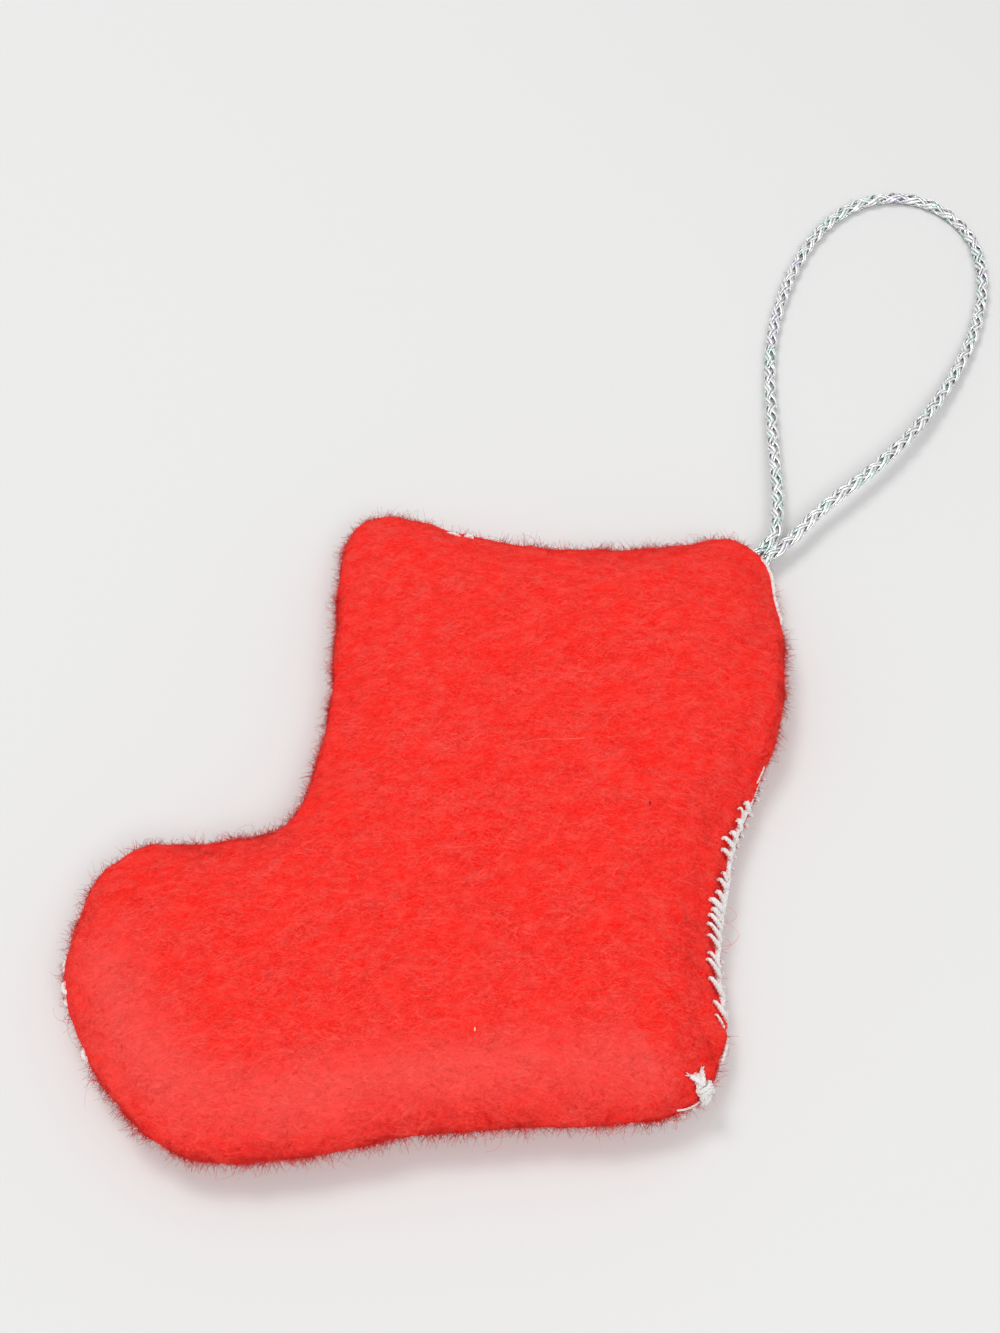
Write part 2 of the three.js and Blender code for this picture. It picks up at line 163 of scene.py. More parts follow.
def follow(points: Array, at: Array, closed: bool = False) -> Array:
    """Places on the smooth (centripetal) curve through points.

    Args:
        points: The points, n by the number of dimensions.
        at: Places along the curve, counted in points.
        closed: Whether the curve runs on from the last point to the first.

    Returns:
        One row for each value of at.
    """
    count = len(points)
    first = np.floor(at).astype(int)
    if closed:
        longer = np.vstack([points[-1], points, points[:2]])
    else:
        first = np.clip(first, 0, count - 2)
        longer = np.vstack([2 * points[0] - points[1], points, 2 * points[-1] - points[-2]])
    before, start, end, after = (longer[first % count + shift] for shift in range(4))
    part = (at - first)[:, None]
    knots = [
        np.sqrt(np.linalg.norm(b - a, axis=1, keepdims=True))
        for a, b in ((before, start), (start, end), (end, after))
    ]
    lead, here, trail = (np.maximum(knot, 1e-9) for knot in knots)
    leaving = (start - before) / lead - (end - before) / (lead + here) + (end - start) / here
    coming = (end - start) / here - (after - start) / (here + trail) + (after - end) / trail
    leaving, coming = leaving * here, coming * here
    square = -3 * start + 3 * end - 2 * leaving - coming
    cube = 2 * start - 2 * end + leaving + coming
    return start + leaving * part + square * part**2 + cube * part**3


def between(table: Rows, at: Values, per: float = 1.0) -> Array:
    """A table's values at any places, from its rows of place and value, divided by per."""
    places, values = np.transpose(table)
    return np.interp(at, places, values / per)


def mesh_values(items: bpy.types.bpy_prop_collection, name: str) -> Array:
    """Three values for each point or normal of a mesh."""
    values = np.empty(len(items) * 3, np.float32)
    items.foreach_get(name, values)
    return values.reshape(-1, 3)


def flat(places: Array) -> Array:
    """Places moved down to height 0."""
    return np.column_stack([places[:, :2], np.zeros(len(places))])


def lengths_along(points: Array) -> Array:
    """Distance along a line of points, from its first point to each."""
    return np.append(0.0, np.cumsum(np.linalg.norm(np.diff(points, axis=0), axis=1)))


def respaced(points: Array, step: float) -> Array:
    """A line of points at an even spacing.

    Args:
        points: The line, with its points close together.
        step: The new spacing, which is rounded to fit the length.

    Returns:
        The new points, with both ends kept.
    """
    along = lengths_along(points)
    count = max(int(round(along[-1] / step)), 2)
    places = np.linspace(0.0, along[-1], count + 1)
    return np.column_stack([np.interp(places, along, points[:, axis]) for axis in range(3)])


def smooth_line(points: Sequence[Sequence[float]] | Array, step: float) -> Array:
    """The smooth curve through a few points, as points that are a step apart."""
    anchors = np.asarray(points, float)
    return respaced(follow(anchors, np.linspace(0, len(anchors) - 1, 24 * len(anchors))), step)


def carried_frame(line: Array) -> tuple[Array, Array, Array]:
    """Directions along a line that don't twist round it.

    Args:
        line: The line's points.

    Returns:
        The tangent, normal and side direction at each point.
    """
    tangent = unit(np.gradient(line, axis=0))
    normal = np.empty_like(line)
    start = UP if abs(tangent[0, 2]) < 0.9 else np.array([1.0, 0.0, 0.0])
    normal[0] = unit(start - tangent[0] * (start @ tangent[0]))
    for i in range(1, len(line)):
        normal[i] = unit(normal[i - 1] - tangent[i] * (normal[i - 1] @ tangent[i]))
    return tangent, normal, np.cross(tangent, normal)


def distance_to(points: Array, marks: Array) -> tuple[Array, Array]:
    """Distance from each point to the nearest of some marks.

    Args:
        points: The points.
        marks: The marks, close together where they stand for a line.

    Returns:
        The distances, and the number of the nearest mark for each point.
    """
    nearest = np.empty(len(points), int)
    distance = np.empty(len(points))
    for chunk in np.array_split(np.arange(len(points)), max(len(points) // 4000, 1)):
        apart = np.linalg.norm(points[chunk, None] - marks[None], axis=2)
        nearest[chunk] = apart.argmin(axis=1)
        distance[chunk] = apart.min(axis=1)
    return distance, nearest


def pushed_clear(points: Array, line: Array, distance: float) -> Array:
    """Moves the points that lie too near a line straight out to a distance from it.

    Args:
        points: The points.
        line: The line's points, close together.
        distance: The least distance that is left.

    Returns:
        The points, moved where needed.
    """
    low, high = line.min(axis=0) - distance, line.max(axis=0) + distance
    near = np.flatnonzero(np.all((points > low) & (points < high), axis=1))
    if len(near) == 0:
        return points
    apart, nearest = distance_to(points[near], line)
    away = unit(points[near] - line[nearest])
    moved = points.copy()
    moved[near] += away * np.maximum(distance - apart, 0.0)[:, None]
    return moved


def filled_ring(ring: Array, spacing: float) -> tuple[Array, Array]:
    """Triangles that fill a ring evenly.

    Args:
        ring: The ring's points in plan.
        spacing: The distance between the points added inside it.

    Returns:
        The added points in plan, and the triangles, in which the ring's points are counted first.
    """
    low, high = ring.min(axis=0), ring.max(axis=0)
    columns = np.arange(low[0], high[0], spacing)
    lattice = [
        np.column_stack([columns + (number % 2) * spacing / 2, np.full(len(columns), y)])
        for number, y in enumerate(np.arange(low[1], high[1], spacing * math.sqrt(3) / 2))
    ]
    places = np.vstack(lattice)
    crossings = np.zeros(len(places), int)
    for (x1, y1), (x2, y2) in zip(ring, np.roll(ring, -1, axis=0)):
        if y1 == y2:
            continue
        spans = (y1 > places[:, 1]) != (y2 > places[:, 1])
        reach = (x2 - x1) * (places[:, 1] - y1) / (y2 - y1) + x1
        crossings += spans & (places[:, 0] < reach)
    inside = places[crossings % 2 == 1]
    apart, _ = distance_to(flat(inside), flat(ring))
    inside = inside[apart > spacing * 0.6]
    together = [Vector(point) for point in np.vstack([ring, inside])]
    edges = [(i, (i + 1) % len(ring)) for i in range(len(ring))]
    _, _, faces, sources, _, _ = delaunay_2d_cdt(together, edges, [], 1, 1e-9)
    return inside, np.array([[sources[corner][0] for corner in face] for face in faces])


@dataclass(frozen=True)
class PlanField:
    """A value at each place in plan, kept on an even lattice."""

    corner: Array
    spacing: float
    values: Array

    @classmethod
    def through(cls, places: Array, values: Array, spacing: float) -> "PlanField":
        """Makes a field that passes smoothly near known values.

        Args:
            places: Where the values are known, n by 2.
            values: The n values.
            spacing: The lattice's spacing.

        Returns:
            The field.
        """
        corner = places.min(axis=0) - 2 * spacing
        counts = np.ceil((places.max(axis=0) + 2 * spacing - corner) / spacing).astype(int) + 1
        columns, rows = np.meshgrid(np.arange(counts[0]), np.arange(counts[1]), indexing="ij")
        lattice = corner + np.stack([columns, rows], axis=-1).reshape(-1, 2) * spacing
        filled = []
        for part in np.array_split(lattice, max(len(lattice) // 1000, 1)):
            apart = np.sum((part[:, None] - places[None]) ** 2, axis=2)
            weight = np.exp(-apart / (0.7 * spacing) ** 2) + 1e-12 / (apart + spacing**2)
            filled.append((weight @ values) / weight.sum(axis=1))
        return cls(corner, spacing, np.concatenate(filled).reshape(counts))

    def at(self, places: Array) -> Array:
        """The field's values at places.

        Args:
            places: The places, n by 2.

        Returns:
            n values.
        """
        scaled = (places - self.corner) / self.spacing
        limit = np.array(self.values.shape) - 2
        cell = np.clip(np.floor(scaled).astype(int), 0, limit)
        x, y = np.clip(scaled - cell, 0, 1).T
        i, j = cell.T
        near = mix(self.values[i, j], self.values[i + 1, j], x)
        far = mix(self.values[i, j + 1], self.values[i + 1, j + 1], x)
        return mix(near, far, y)


class OuterFace:
    """The outer face of a built piece, to lay thread and fibres on."""

    def __init__(self, piece: Piece) -> None:
        """Reads the piece's mesh."""
        corners = [vertex.co for vertex in piece.data.vertices]
        self.tree = BVHTree.FromPolygons(corners, [face.vertices for face in piece.data.polygons])

    def below(self, start: Array, way: Array) -> Array:
        """Where a straight line from a point first meets the face, or the point where it doesn't."""
        place = self.tree.ray_cast(Vector(start), Vector(way))[0]
        return np.array(start if place is None else place)


class ShaderSheet:
    """The nodes of one material, round a Principled shader."""

    def __init__(self, name: str) -> None:
        """Makes the material.

        Args:
            name: The material's name.
        """
        self.material = bpy.data.materials.new(name)
        self.material.use_nodes = True
        self.tree = self.material.node_tree
        self.shader = self.tree.nodes["Principled BSDF"]
        self.place = self.tree.nodes.new("ShaderNodeTexCoord").outputs["Object"]

    def set(self, **values: object) -> None:
        """Sets the shader's own sockets, named with _ for each space."""
        for name, value in values.items():
            self.shader.inputs[name.replace("_", " ")].default_value = value

    def node(self, kind: str, inputs: dict, **settings: object) -> bpy.types.Node:
        """Adds a node.

        Args:
            kind: The node's type, without its ShaderNode prefix.
            inputs: A value or another node's output for each named or numbered input.
            settings: The node's own settings.

        Returns:
            The node.
        """
        node = self.tree.nodes.new("ShaderNode" + kind)
        for name, value in settings.items():
            setattr(node, name, value)
        for name, value in inputs.items():
            if isinstance(value, Socket):
                self.tree.links.new(value, node.inputs[name])
            else:
                node.inputs[name].default_value = value
        return node

    def math(self, operation: str, first: object, second: object = 0.0) -> Socket:
        """The result of a math node on two values or outputs."""
        return self.node("Math", {0: first, 1: second}, operation=operation).outputs[0]

    def noise(
        self, size: Sequence[float], turn: float = 0.0, detail: float = 2.0, shift: float = 0.0
    ) -> Socket:
        """Noise whose swells have a length, width and height.

        Args:
            size: The swells' three lengths.
            turn: The direction of the first length in plan, in degrees.
            detail: How many finer layers it has.
            shift: How far the pattern is moved, so that two layers differ.

        Returns:
            The noise, round 0.5.
        """
        placing = {"Location": (shift, shift, 0.0), "Rotation": (0.0, 0.0, math.radians(turn))}
        placing.update({"Vector": self.place, "Scale": tuple(size)})
        mapped = self.node("Mapping", placing, vector_type="TEXTURE")
        noise = self.node("TexNoise", {"Vector": mapped.outputs[0], "Scale": 1.0, "Detail": detail})
        return noise.outputs[0]

    def ramp(self, value: Socket, stops: Sequence[tuple[float, Colour]]) -> Socket:
        """A colour for each height of a value.

        Args:
            value: The value.
            stops: Heights and colours, lowest first.

        Returns:
            The colour.
        """
        node = self.node("ValToRGB", {0: value})
        elements = node.color_ramp.elements
        while len(elements) < len(stops):
            elements.new(0.5)
        for element, (height, colour) in zip(elements, stops):
            element.position = height
            element.color = (*colour, 1.0)
        return node.outputs[0]

    def blend(self, first: object, second: object, share: object, kind: str = "MIX") -> Socket:
        """A mix of two colours, by a share or a value."""
        colours = {6: first, 7: second, 0: share}
        return self.node("Mix", colours, data_type="RGBA", blend_type=kind).outputs[2]

    def strands(self, length: float, width: float, turns: Sequence[float], line: float) -> Socket:
        """Thin wandering lines in several directions, like loose fibres.

        Args:
            length: How far a line runs before it wanders.
            width: The space between two lines.
            turns: The directions in plan, in degrees.
            line: How wide a line is, as a share of the noise's range.

        Returns:
            1 on a line and 0 beside it.
        """
        total = None
        for number, turn in enumerate(turns):
            swell = self.noise((length, width, length), turn, 1.0, length * number * 7.3)
            off = self.math("ABSOLUTE", self.math("SUBTRACT", swell, 0.5))
            here = self.node(
                "MapRange", {"Value": off, "From Min": 0.0, "From Max": line, "To Min": 1.0, "To Max": 0.0}
            ).outputs[0]
            total = here if total is None else self.math("MAXIMUM", total, here)
        return total

    def relief(self, height: Socket, distance: float, strength: float = 1.0) -> None:
        """Gives the shader a bump of a height, at most distance deep."""
        bump = self.node("Bump", {"Height": height, "Distance": distance, "Strength": strength})
        self.tree.links.new(bump.outputs[0], self.shader.inputs["Normal"])

    def colour(self, socket: Socket) -> None:
        """Gives the shader its colour."""
        self.tree.links.new(socket, self.shader.inputs["Base Color"])


@dataclass(frozen=True)
class FeltFinish:
    """Pressed red felt: a mottled ground under a web of lighter fibres."""

    name: str = "red_felt"
    deep: Colour = (0.97, 0.006, 0.004)
    ground: Colour = (1.0, 0.013, 0.0085)
    bright: Colour = (1.0, 0.037, 0.028)
    fibre: Colour = (1.0, 0.130, 0.105)
    shadow: Colour = (0.86, 0.006, 0.006)
    # painted highlight: the lighter red of the band inside the toe and sole rim, where those slopes face the
    # light
    painted_edge_light: Colour = (1.0, 0.098, 0.086)
    mottle_size: float = 0.0026
    fibre_length: float = 0.0042
    fibre_spacing: float = 0.0006
    bump: float = 0.00010

    def material(self) -> Material:
        """The felt's material."""
        sheet = ShaderSheet(self.name)
        mottle = sheet.noise((self.mottle_size, self.mottle_size * 0.6, self.mottle_size), 8, 6.0)
        ground = sheet.ramp(mottle, [(0.34, self.deep), (0.50, self.ground), (0.68, self.bright)])
        # painted highlight: the felt is lightened in a band inside the toe and sole rim, where those slopes
        # face the light
        nap = sheet.node("Attribute", {}, attribute_name="painted_edge_light").outputs["Fac"]
        ground = sheet.blend(ground, (*self.painted_edge_light, 1.0), sheet.math("MULTIPLY", nap, 0.62))
        pits = sheet.noise((0.0009, 0.00045, 0.0008), 10, 3.0, 0.7)
        pits = sheet.node("MapRange", {"Value": pits, "From Min": 0.58, "From Max": 0.72, "To Max": 0.55})
        ground = sheet.blend(ground, (*self.shadow, 1.0), pits.outputs[0])
        broad = sheet.strands(self.fibre_length, self.fibre_spacing, (4, -22, 38), 0.030)
        fine = sheet.strands(self.fibre_length * 0.5, self.fibre_spacing * 0.45, (-8, 15, 70, -60), 0.045)
        web = sheet.math("MAXIMUM", sheet.math("MULTIPLY", broad, 0.62), sheet.math("MULTIPLY", fine, 0.42))
        patch = sheet.noise((0.005, 0.0035, 0.005), 20, 3.0, 0.4)
        web = sheet.math("MULTIPLY", web, sheet.math("MULTIPLY", patch, 1.5))
        sheet.colour(sheet.blend(ground, (*self.fibre, 1.0), web))
        grain = sheet.noise((0.00035, 0.00022, 0.0003), 12, 3.0)
        sheet.relief(sheet.math("ADD", sheet.math("MULTIPLY", web, 0.7), grain), self.bump)
        sheet.set(Roughness=0.95, Specular_IOR_Level=0.04, Sheen_Weight=0.03, Sheen_Roughness=0.5)
        sheet.set(Sheen_Tint=(1.0, 0.30, 0.25, 1.0))
        return sheet.material


@dataclass(frozen=True)
class FuzzFinish:
    """Loose fibres, with a sheen along their edges."""

    name: str
    low: Colour
    high: Colour
    sheen: float = 0.15
    patch: float = 0.0012

    def material(self) -> Material:
        """The fibres' material."""
        sheet = ShaderSheet(self.name)
        tone = sheet.noise((self.patch,) * 3, 0, 2.0)
        sheet.colour(sheet.ramp(tone, [(0.35, self.low), (0.65, self.high)]))
        sheet.set(Roughness=0.85, Specular_IOR_Level=0.1, Sheen_Roughness=0.4, Sheen_Weight=self.sheen)
        sheet.set(Sheen_Tint=(*self.high, 1.0))
        return sheet.material


@dataclass(frozen=True)
class ThreadFinish:
    """Soft white cotton thread, with painted shade between its hairs."""

    name: str = "white_thread"
    shade: Colour = (0.74, 0.705, 0.695)
    light: Colour = (0.93, 0.92, 0.905)
    hair: float = 0.00009
    bump: float = 0.00005

    def material(self) -> Material:
        """The thread's material."""
        sheet = ShaderSheet(self.name)
        hairs = sheet.noise((self.hair * 6, self.hair, self.hair), 30, 3.0)
        tone = sheet.noise((0.0011, 0.0009, 0.001), 0, 2.0, 0.1)
        height = sheet.math("ADD", sheet.math("MULTIPLY", hairs, 0.6), sheet.math("MULTIPLY", tone, 0.4))
        # painted shade: the low places between the hairs take the grey shade colour
        sheet.colour(sheet.ramp(height, [(0.34, self.shade), (0.56, self.light)]))
        sheet.relief(hairs, self.bump)
        sheet.set(Roughness=0.75, Specular_IOR_Level=0.3, Sheen_Weight=0.25, Sheen_Roughness=0.4)
        return sheet.material


@dataclass(frozen=True)
class FoilFinish:
    """Thin metallic foil strip that shifts from silver to pale green, blue and pink."""

    name: str = "silver_foil"
    crinkle: float = 0.00065
    patch: float = 0.0026
    bump: float = 0.00003

    def material(self) -> Material:
        """The foil's material."""
        sheet = ShaderSheet(self.name)
        tints = [
            (0.32, (0.86, 0.82, 0.92)), (0.42, (0.97, 0.97, 0.98)), (0.54, (0.98, 0.98, 0.97)),
            (0.61, (0.74, 0.95, 0.89)), (0.67, (0.97, 0.98, 0.96)), (0.76, (0.97, 0.88, 0.93)),
        ]
        tint = sheet.ramp(sheet.noise((self.patch,) * 3, 25, 1.5), tints)
        glints = sheet.noise((self.crinkle,) * 3, 0, 2.0, 0.3)
        greys = [(0.32, (0.58, 0.60, 0.61)), (0.42, (0.94, 0.95, 0.95)), (0.54, (1, 1, 1))]
        shade = sheet.ramp(glints, greys)
        sheet.colour(sheet.blend(tint, shade, 1.0, "MULTIPLY"))
        sheet.relief(glints, self.bump)
        sheet.set(Metallic=0.75, Roughness=0.26, Specular_IOR_Level=0.7)
        return sheet.material


@dataclass(frozen=True)
class CoreFinish:
    """Grey yarn inside the braid, which shows between its strips."""

    name: str = "cord_core"

    def material(self) -> Material:
        """The core's material."""
        sheet = ShaderSheet(self.name)
        yarn = sheet.noise((0.0012, 0.00018, 0.0012), 40, 2.0)
        sheet.colour(sheet.ramp(yarn, [(0.4, (0.16, 0.17, 0.18)), (0.62, (0.42, 0.43, 0.44))]))
        sheet.set(Roughness=0.7, Metallic=0.3)
        return sheet.material


@dataclass(frozen=True)
class FloorFinish:
    """Plain pale paper under the object."""

    name: str = "pale_floor"
    tone: Colour = (0.80, 0.80, 0.795)

    def material(self) -> Material:
        """The floor's material."""
        sheet = ShaderSheet(self.name)
        sheet.set(Base_Color=(*self.tone, 1.0), Roughness=0.9, Specular_IOR_Level=0.1)
        return sheet.material


@dataclass
class MeshDraft:
    """The points and faces of one piece while it is made."""

    points: list[Array] = field(default_factory=list)
    faces: list[Array] = field(default_factory=list)
    finishes: list[int] = field(default_factory=list)
    count: int = 0

    def add(self, points: Array, faces: Sequence[Array], finish: int = 0) -> None:
        """Adds one body.

        Args:
            points: Its points.
            faces: Arrays of faces, each with one number of corners.
            finish: Which of the piece's finishes it has.
        """
        for group in faces:
            self.faces.append(group + self.count)
            self.finishes.append(finish)
        self.points.append(points)
        self.count += len(points)

    def add_tubes(
        self, lines: Array, width: Values, thickness: Values | None = None, sides: int = 6,
        normals: Array | None = None, finish: int = 0,
    ) -> None:
        """Adds closed tubes of a round or flat section.

        Args:
            lines: Their centre lines, strands by points by 3.
            width: Half their width, for all or by strand and point.
            thickness: Half their thickness along the normal, or None where they are round.
            sides: The section's sides.
            normals: The direction of the thickness, or None for any.
            finish: Which of the piece's finishes they have.
        """
        strands, steps, _ = lines.shape
        tangents = unit(np.gradient(lines, axis=1))
        if normals is None:
            normals = np.broadcast_to(unit(np.array([0.31, 0.17, 0.94])), lines.shape)
        normals = unit(normals - tangents * np.sum(normals * tangents, axis=2, keepdims=True))
        across = np.cross(tangents, normals)
        thickness = width if thickness is None else thickness
        sizes = (np.broadcast_to(size, (strands, steps)) for size in (width, thickness))
        wide, thick = (size[:, :, None, None] for size in sizes)
        turn = np.arange(sides)[None, None, :, None] * (2 * math.pi / sides)
        rings = lines[:, :, None]
        rings = rings + np.cos(turn) * thick * normals[:, :, None] + np.sin(turn) * wide * across[:, :, None]
        number = np.arange(strands * steps * sides).reshape(strands, steps, sides)
        here, there = number[:, :-1], number[:, 1:]
        around = [here, np.roll(here, -1, 2), np.roll(there, -1, 2), there]
        walls = np.stack(around, axis=-1).reshape(-1, 4)
        self.add(rings.reshape(-1, 3), [walls, number[:, 0, ::-1], number[:, -1]], finish)

    def piece(self, name: str, finishes: Sequence[Material]) -> Piece:
        """Makes the Blender object.

        Args:
            name: Its name.
            finishes: Its materials.

        Returns:
            The object, with smooth faces.
        """
        mesh = bpy.data.meshes.new(name)
        points = np.vstack(self.points).astype(np.float32)
        corners = np.concatenate([group.ravel() for group in self.faces]).astype(np.int32)
        sizes = np.concatenate([np.full(len(group), group.shape[1]) for group in self.faces])
        marks = np.concatenate([np.full(len(g), f) for g, f in zip(self.faces, self.finishes)])
        mesh.vertices.add(len(points))
        mesh.vertices.foreach_set("co", points.ravel())
        mesh.loops.add(len(corners))
        mesh.loops.foreach_set("vertex_index", corners)
        mesh.polygons.add(len(sizes))
        mesh.polygons.foreach_set("loop_start", (np.cumsum(sizes) - sizes).astype(np.int32))
        mesh.polygons.foreach_set("material_index", marks.astype(np.int32))
        mesh.update(calc_edges=True)
        mesh.shade_smooth()
        for finish in finishes:
            mesh.materials.append(finish)
        piece = bpy.data.objects.new(name, mesh)
        bpy.context.scene.collection.objects.link(piece)
        return piece


def settled(piece: Piece, body: Body, nodes: Sequence[str] = ()) -> Piece:
    """Puts a finished piece on its body.

    Args:
        piece: The piece.
        body: The body that it moves with.
        nodes: The CAD nodes that it stands for.

    Returns:
        The piece.
    """
    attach(piece, body.value)
    if nodes:
        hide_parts(*nodes)
    log.info("%s: %d faces", piece.name, len(piece.data.polygons))
    return piece


@dataclass(frozen=True)
class Stations:
    """Places round the boot's outline, with the directions of its cross-section there."""

    rim: Array
    crown: Array
    inward: Array
    tuck: Array


@dataclass(frozen=True)
class BootShape:
    """Sizes of the stuffed boot, and its cross-section at any place round its outline."""

    width: float = 0.105
    height: float = 0.107
    felt: float = 0.0018
    crown_rise: float = 0.0032
    belly_drop: float = 0.0010
    roll_radius: float = 0.0022
    open_rim_radius: float = 0.0009
    seam_margin: float = 0.0042
    panel_gap: float = 0.0003
    shoulder_angle: float = 60.0
    tuck_angle: float = -80.0
    crown_fullness: float = 3.2
    belly_flat_share: float = 0.5
    filling_clearance: float = 0.0003
    thread_radius: float = 0.00035
    thread_clearance: float = 0.00015
    open_seam_angle: float = -38.0
    tucked_seam_angle: float = -82.0
    normal_reach: float = 0.5  # in outline points, each way

    @property
    def front_level(self) -> float:
        """Height of the front panel's inner side in the sewn band."""
        return self.belly_drop + self.felt

    @property
    def seam_level(self) -> float:
        """Height of the back panel's inner side in the sewn band."""
        return self.front_level + self.panel_gap

    @property
    def crown_level(self) -> float:
        """Height of the back panel's middle."""
        return self.seam_level + 2 * self.roll_radius + self.crown_rise

    @property
    def thread_off(self) -> float:
        """Distance from the felt to the middle of a thread on it."""
        return self.thread_radius + self.thread_clearance

    @property
    def point_count(self) -> int:
        """Points in the outline."""
        return len(BOOT_OUTLINE)

    def outline(self, column: int = 0) -> Array:
        """The rim's points in metres, or the crown line's, which start at column 2."""
        shares = np.array(BOOT_OUTLINE)[:, column:column + 2] / THOUSANDTHS
        return (shares - 0.5) * np.array([self.width, self.height])

    def rim(self, rows: Array) -> Array:
        """Points on the rim, at places counted in the outline's points."""
        return follow(self.outline(), rows, True)

    def stations(self, rows: Array) -> Stations:
        """Places round the outline.

        Args:
            rows: The places, counted in the outline's points.

        Returns:
            The stations there.
        """
        along = self.rim(rows + self.normal_reach) - self.rim(rows - self.normal_reach)
        tucks = np.array([*BOOT_OUTLINE, BOOT_OUTLINE[0]])[:, 4] / THOUSANDTHS
        return Stations(
            rim=self.rim(rows),
            crown=follow(self.outline(2), rows, True),
            inward=unit(np.column_stack([-along[:, 1], along[:, 0]])),
            tuck=np.interp(rows % self.point_count, np.arange(self.point_count + 1), tucks),
        )

    def station(self, row: float) -> Stations:
        """One place, counted in the outline's points."""
        return self.stations(np.array([row]))

    def around(self, count: int) -> Stations:
        """Places all round the outline."""
        return self.stations(np.linspace(0, self.point_count, count, endpoint=False))

    def past(self, row: float, distance: float) -> Stations:
        """The place that lies a distance along the rim from another."""
        return self.station(self.row_past(row, distance or 1e-6))

    def rows_along(self, spacing: float, start: float, end: float) -> Array:
        """Places at an even spacing along the rim, in outline points as start and end are."""
        rows = np.linspace(start, end, 400)
        along = lengths_along(self.rim(rows))
        return np.interp(np.arange(0.0, along[-1], spacing), along, rows)

    def row_past(self, row: float, distance: float) -> float:
        """The place that lies a distance along the rim from another, in outline points."""
        rows = np.linspace(row, row + math.copysign(2.0, distance), 200)
        return float(np.interp(abs(distance), lengths_along(self.rim(rows)), rows))

    def at_inset(self, at: Stations, inset: Values, height: Values) -> Array:
        """Points a distance in from the rim, at a height."""
        inset = np.broadcast_to(inset, len(at.rim))
        return np.column_stack([at.rim + at.inward * inset[:, None], np.broadcast_to(height, len(at.rim))])

    def roll(self, at: Stations, angle: Values, off: float = 0.0) -> Array:
        """Points on the back panel's rolled rim.

        Args:
            at: The stations.
            angle: The angle round the roll, above the horizontal, in degrees.
            off: How far off the felt the points lie.

        Returns:
            One point for each station.
        """
        radius = mix(self.open_rim_radius, self.roll_radius, at.tuck)
        middle = self.seam_level - radius * math.sin(math.radians(self.tuck_angle))
        turn = np.radians(angle)
        inset = radius - (radius + off) * np.cos(turn)
        return self.at_inset(at, inset, middle + (radius + off) * np.sin(turn))

    def crown(self, at: Stations, share: Values, drop: float = 0.0) -> Array:
        """Points on the back panel, between its shoulder and its crown line.

        Args:
            at: The stations.
            share: 0 at the shoulder, 1 at the crown line.
            drop: How far below the outer face they lie.

        Returns:
            One point for each station.
        """
        shoulder = self.roll(at, self.shoulder_angle)
        share = np.broadcast_to(share, len(at.rim))
        rise = 1 - (1 - share) ** self.crown_fullness
        plan = mix(shoulder[:, :2], at.crown, share[:, None])
        return np.column_stack([plan, mix(shoulder[:, 2], self.crown_level, rise) - drop])

    def share_at_inset(self, at: Stations, inset: Values) -> Array:
        """The share of the crown that a distance from the rim reaches."""
        shoulder = self.roll(at, self.shoulder_angle)[:, :2]
        shoulder_inset = np.linalg.norm(shoulder - at.rim, axis=1)
        return (inset - shoulder_inset) / np.linalg.norm(at.crown - shoulder, axis=1)

    def hollow(self, at: Stations, share: float, height: float | None = None) -> Array:
        """Points in the hollow, from the sewn band at share 0 to the crown line at share 1.

        Args:
            at: The stations.
            share: The share.
            height: Their height, or None for the back panel's inner side.

        Returns:
            One point for each station.
        """
        crown_share = mix(self.share_at_inset(at, self.seam_margin), 1.0, share)
        points = self.crown(at, crown_share, self.felt)
        if height is not None:
            points[:, 2] = height
        return points

    def belly(self, share: float) -> float:
        """Height of the front panel's outer side at a share of the hollow."""
        return self.belly_drop * max(1 - share / self.belly_flat_share, 0.0) ** 2

    def thread_line(self, at: Stations, sink: Values = 0.0, lift: Values = 0.0) -> Array:
        """Where the seam's thread lies along the rim.

        Args:
            at: The stations.
            sink: How far it is sunk in.
            lift: How far it is drawn up round the rim, in degrees.

        Returns:
            One point for each station.
        """
        angle = mix(self.open_seam_angle, self.tucked_seam_angle, at.tuck) + lift
        line = self.roll(at, angle, self.thread_off)
        line[:, :2] += at.inward * np.broadcast_to(sink, len(at.rim))[:, None]
        return line

    def front_edge(self, at: Stations) -> Array:
        """How far in from the rim the front panel's cut edge lies."""
        reach = np.sum((self.thread_line(at)[:, :2] - at.rim) * at.inward, axis=1)
        return reach + self.thread_off


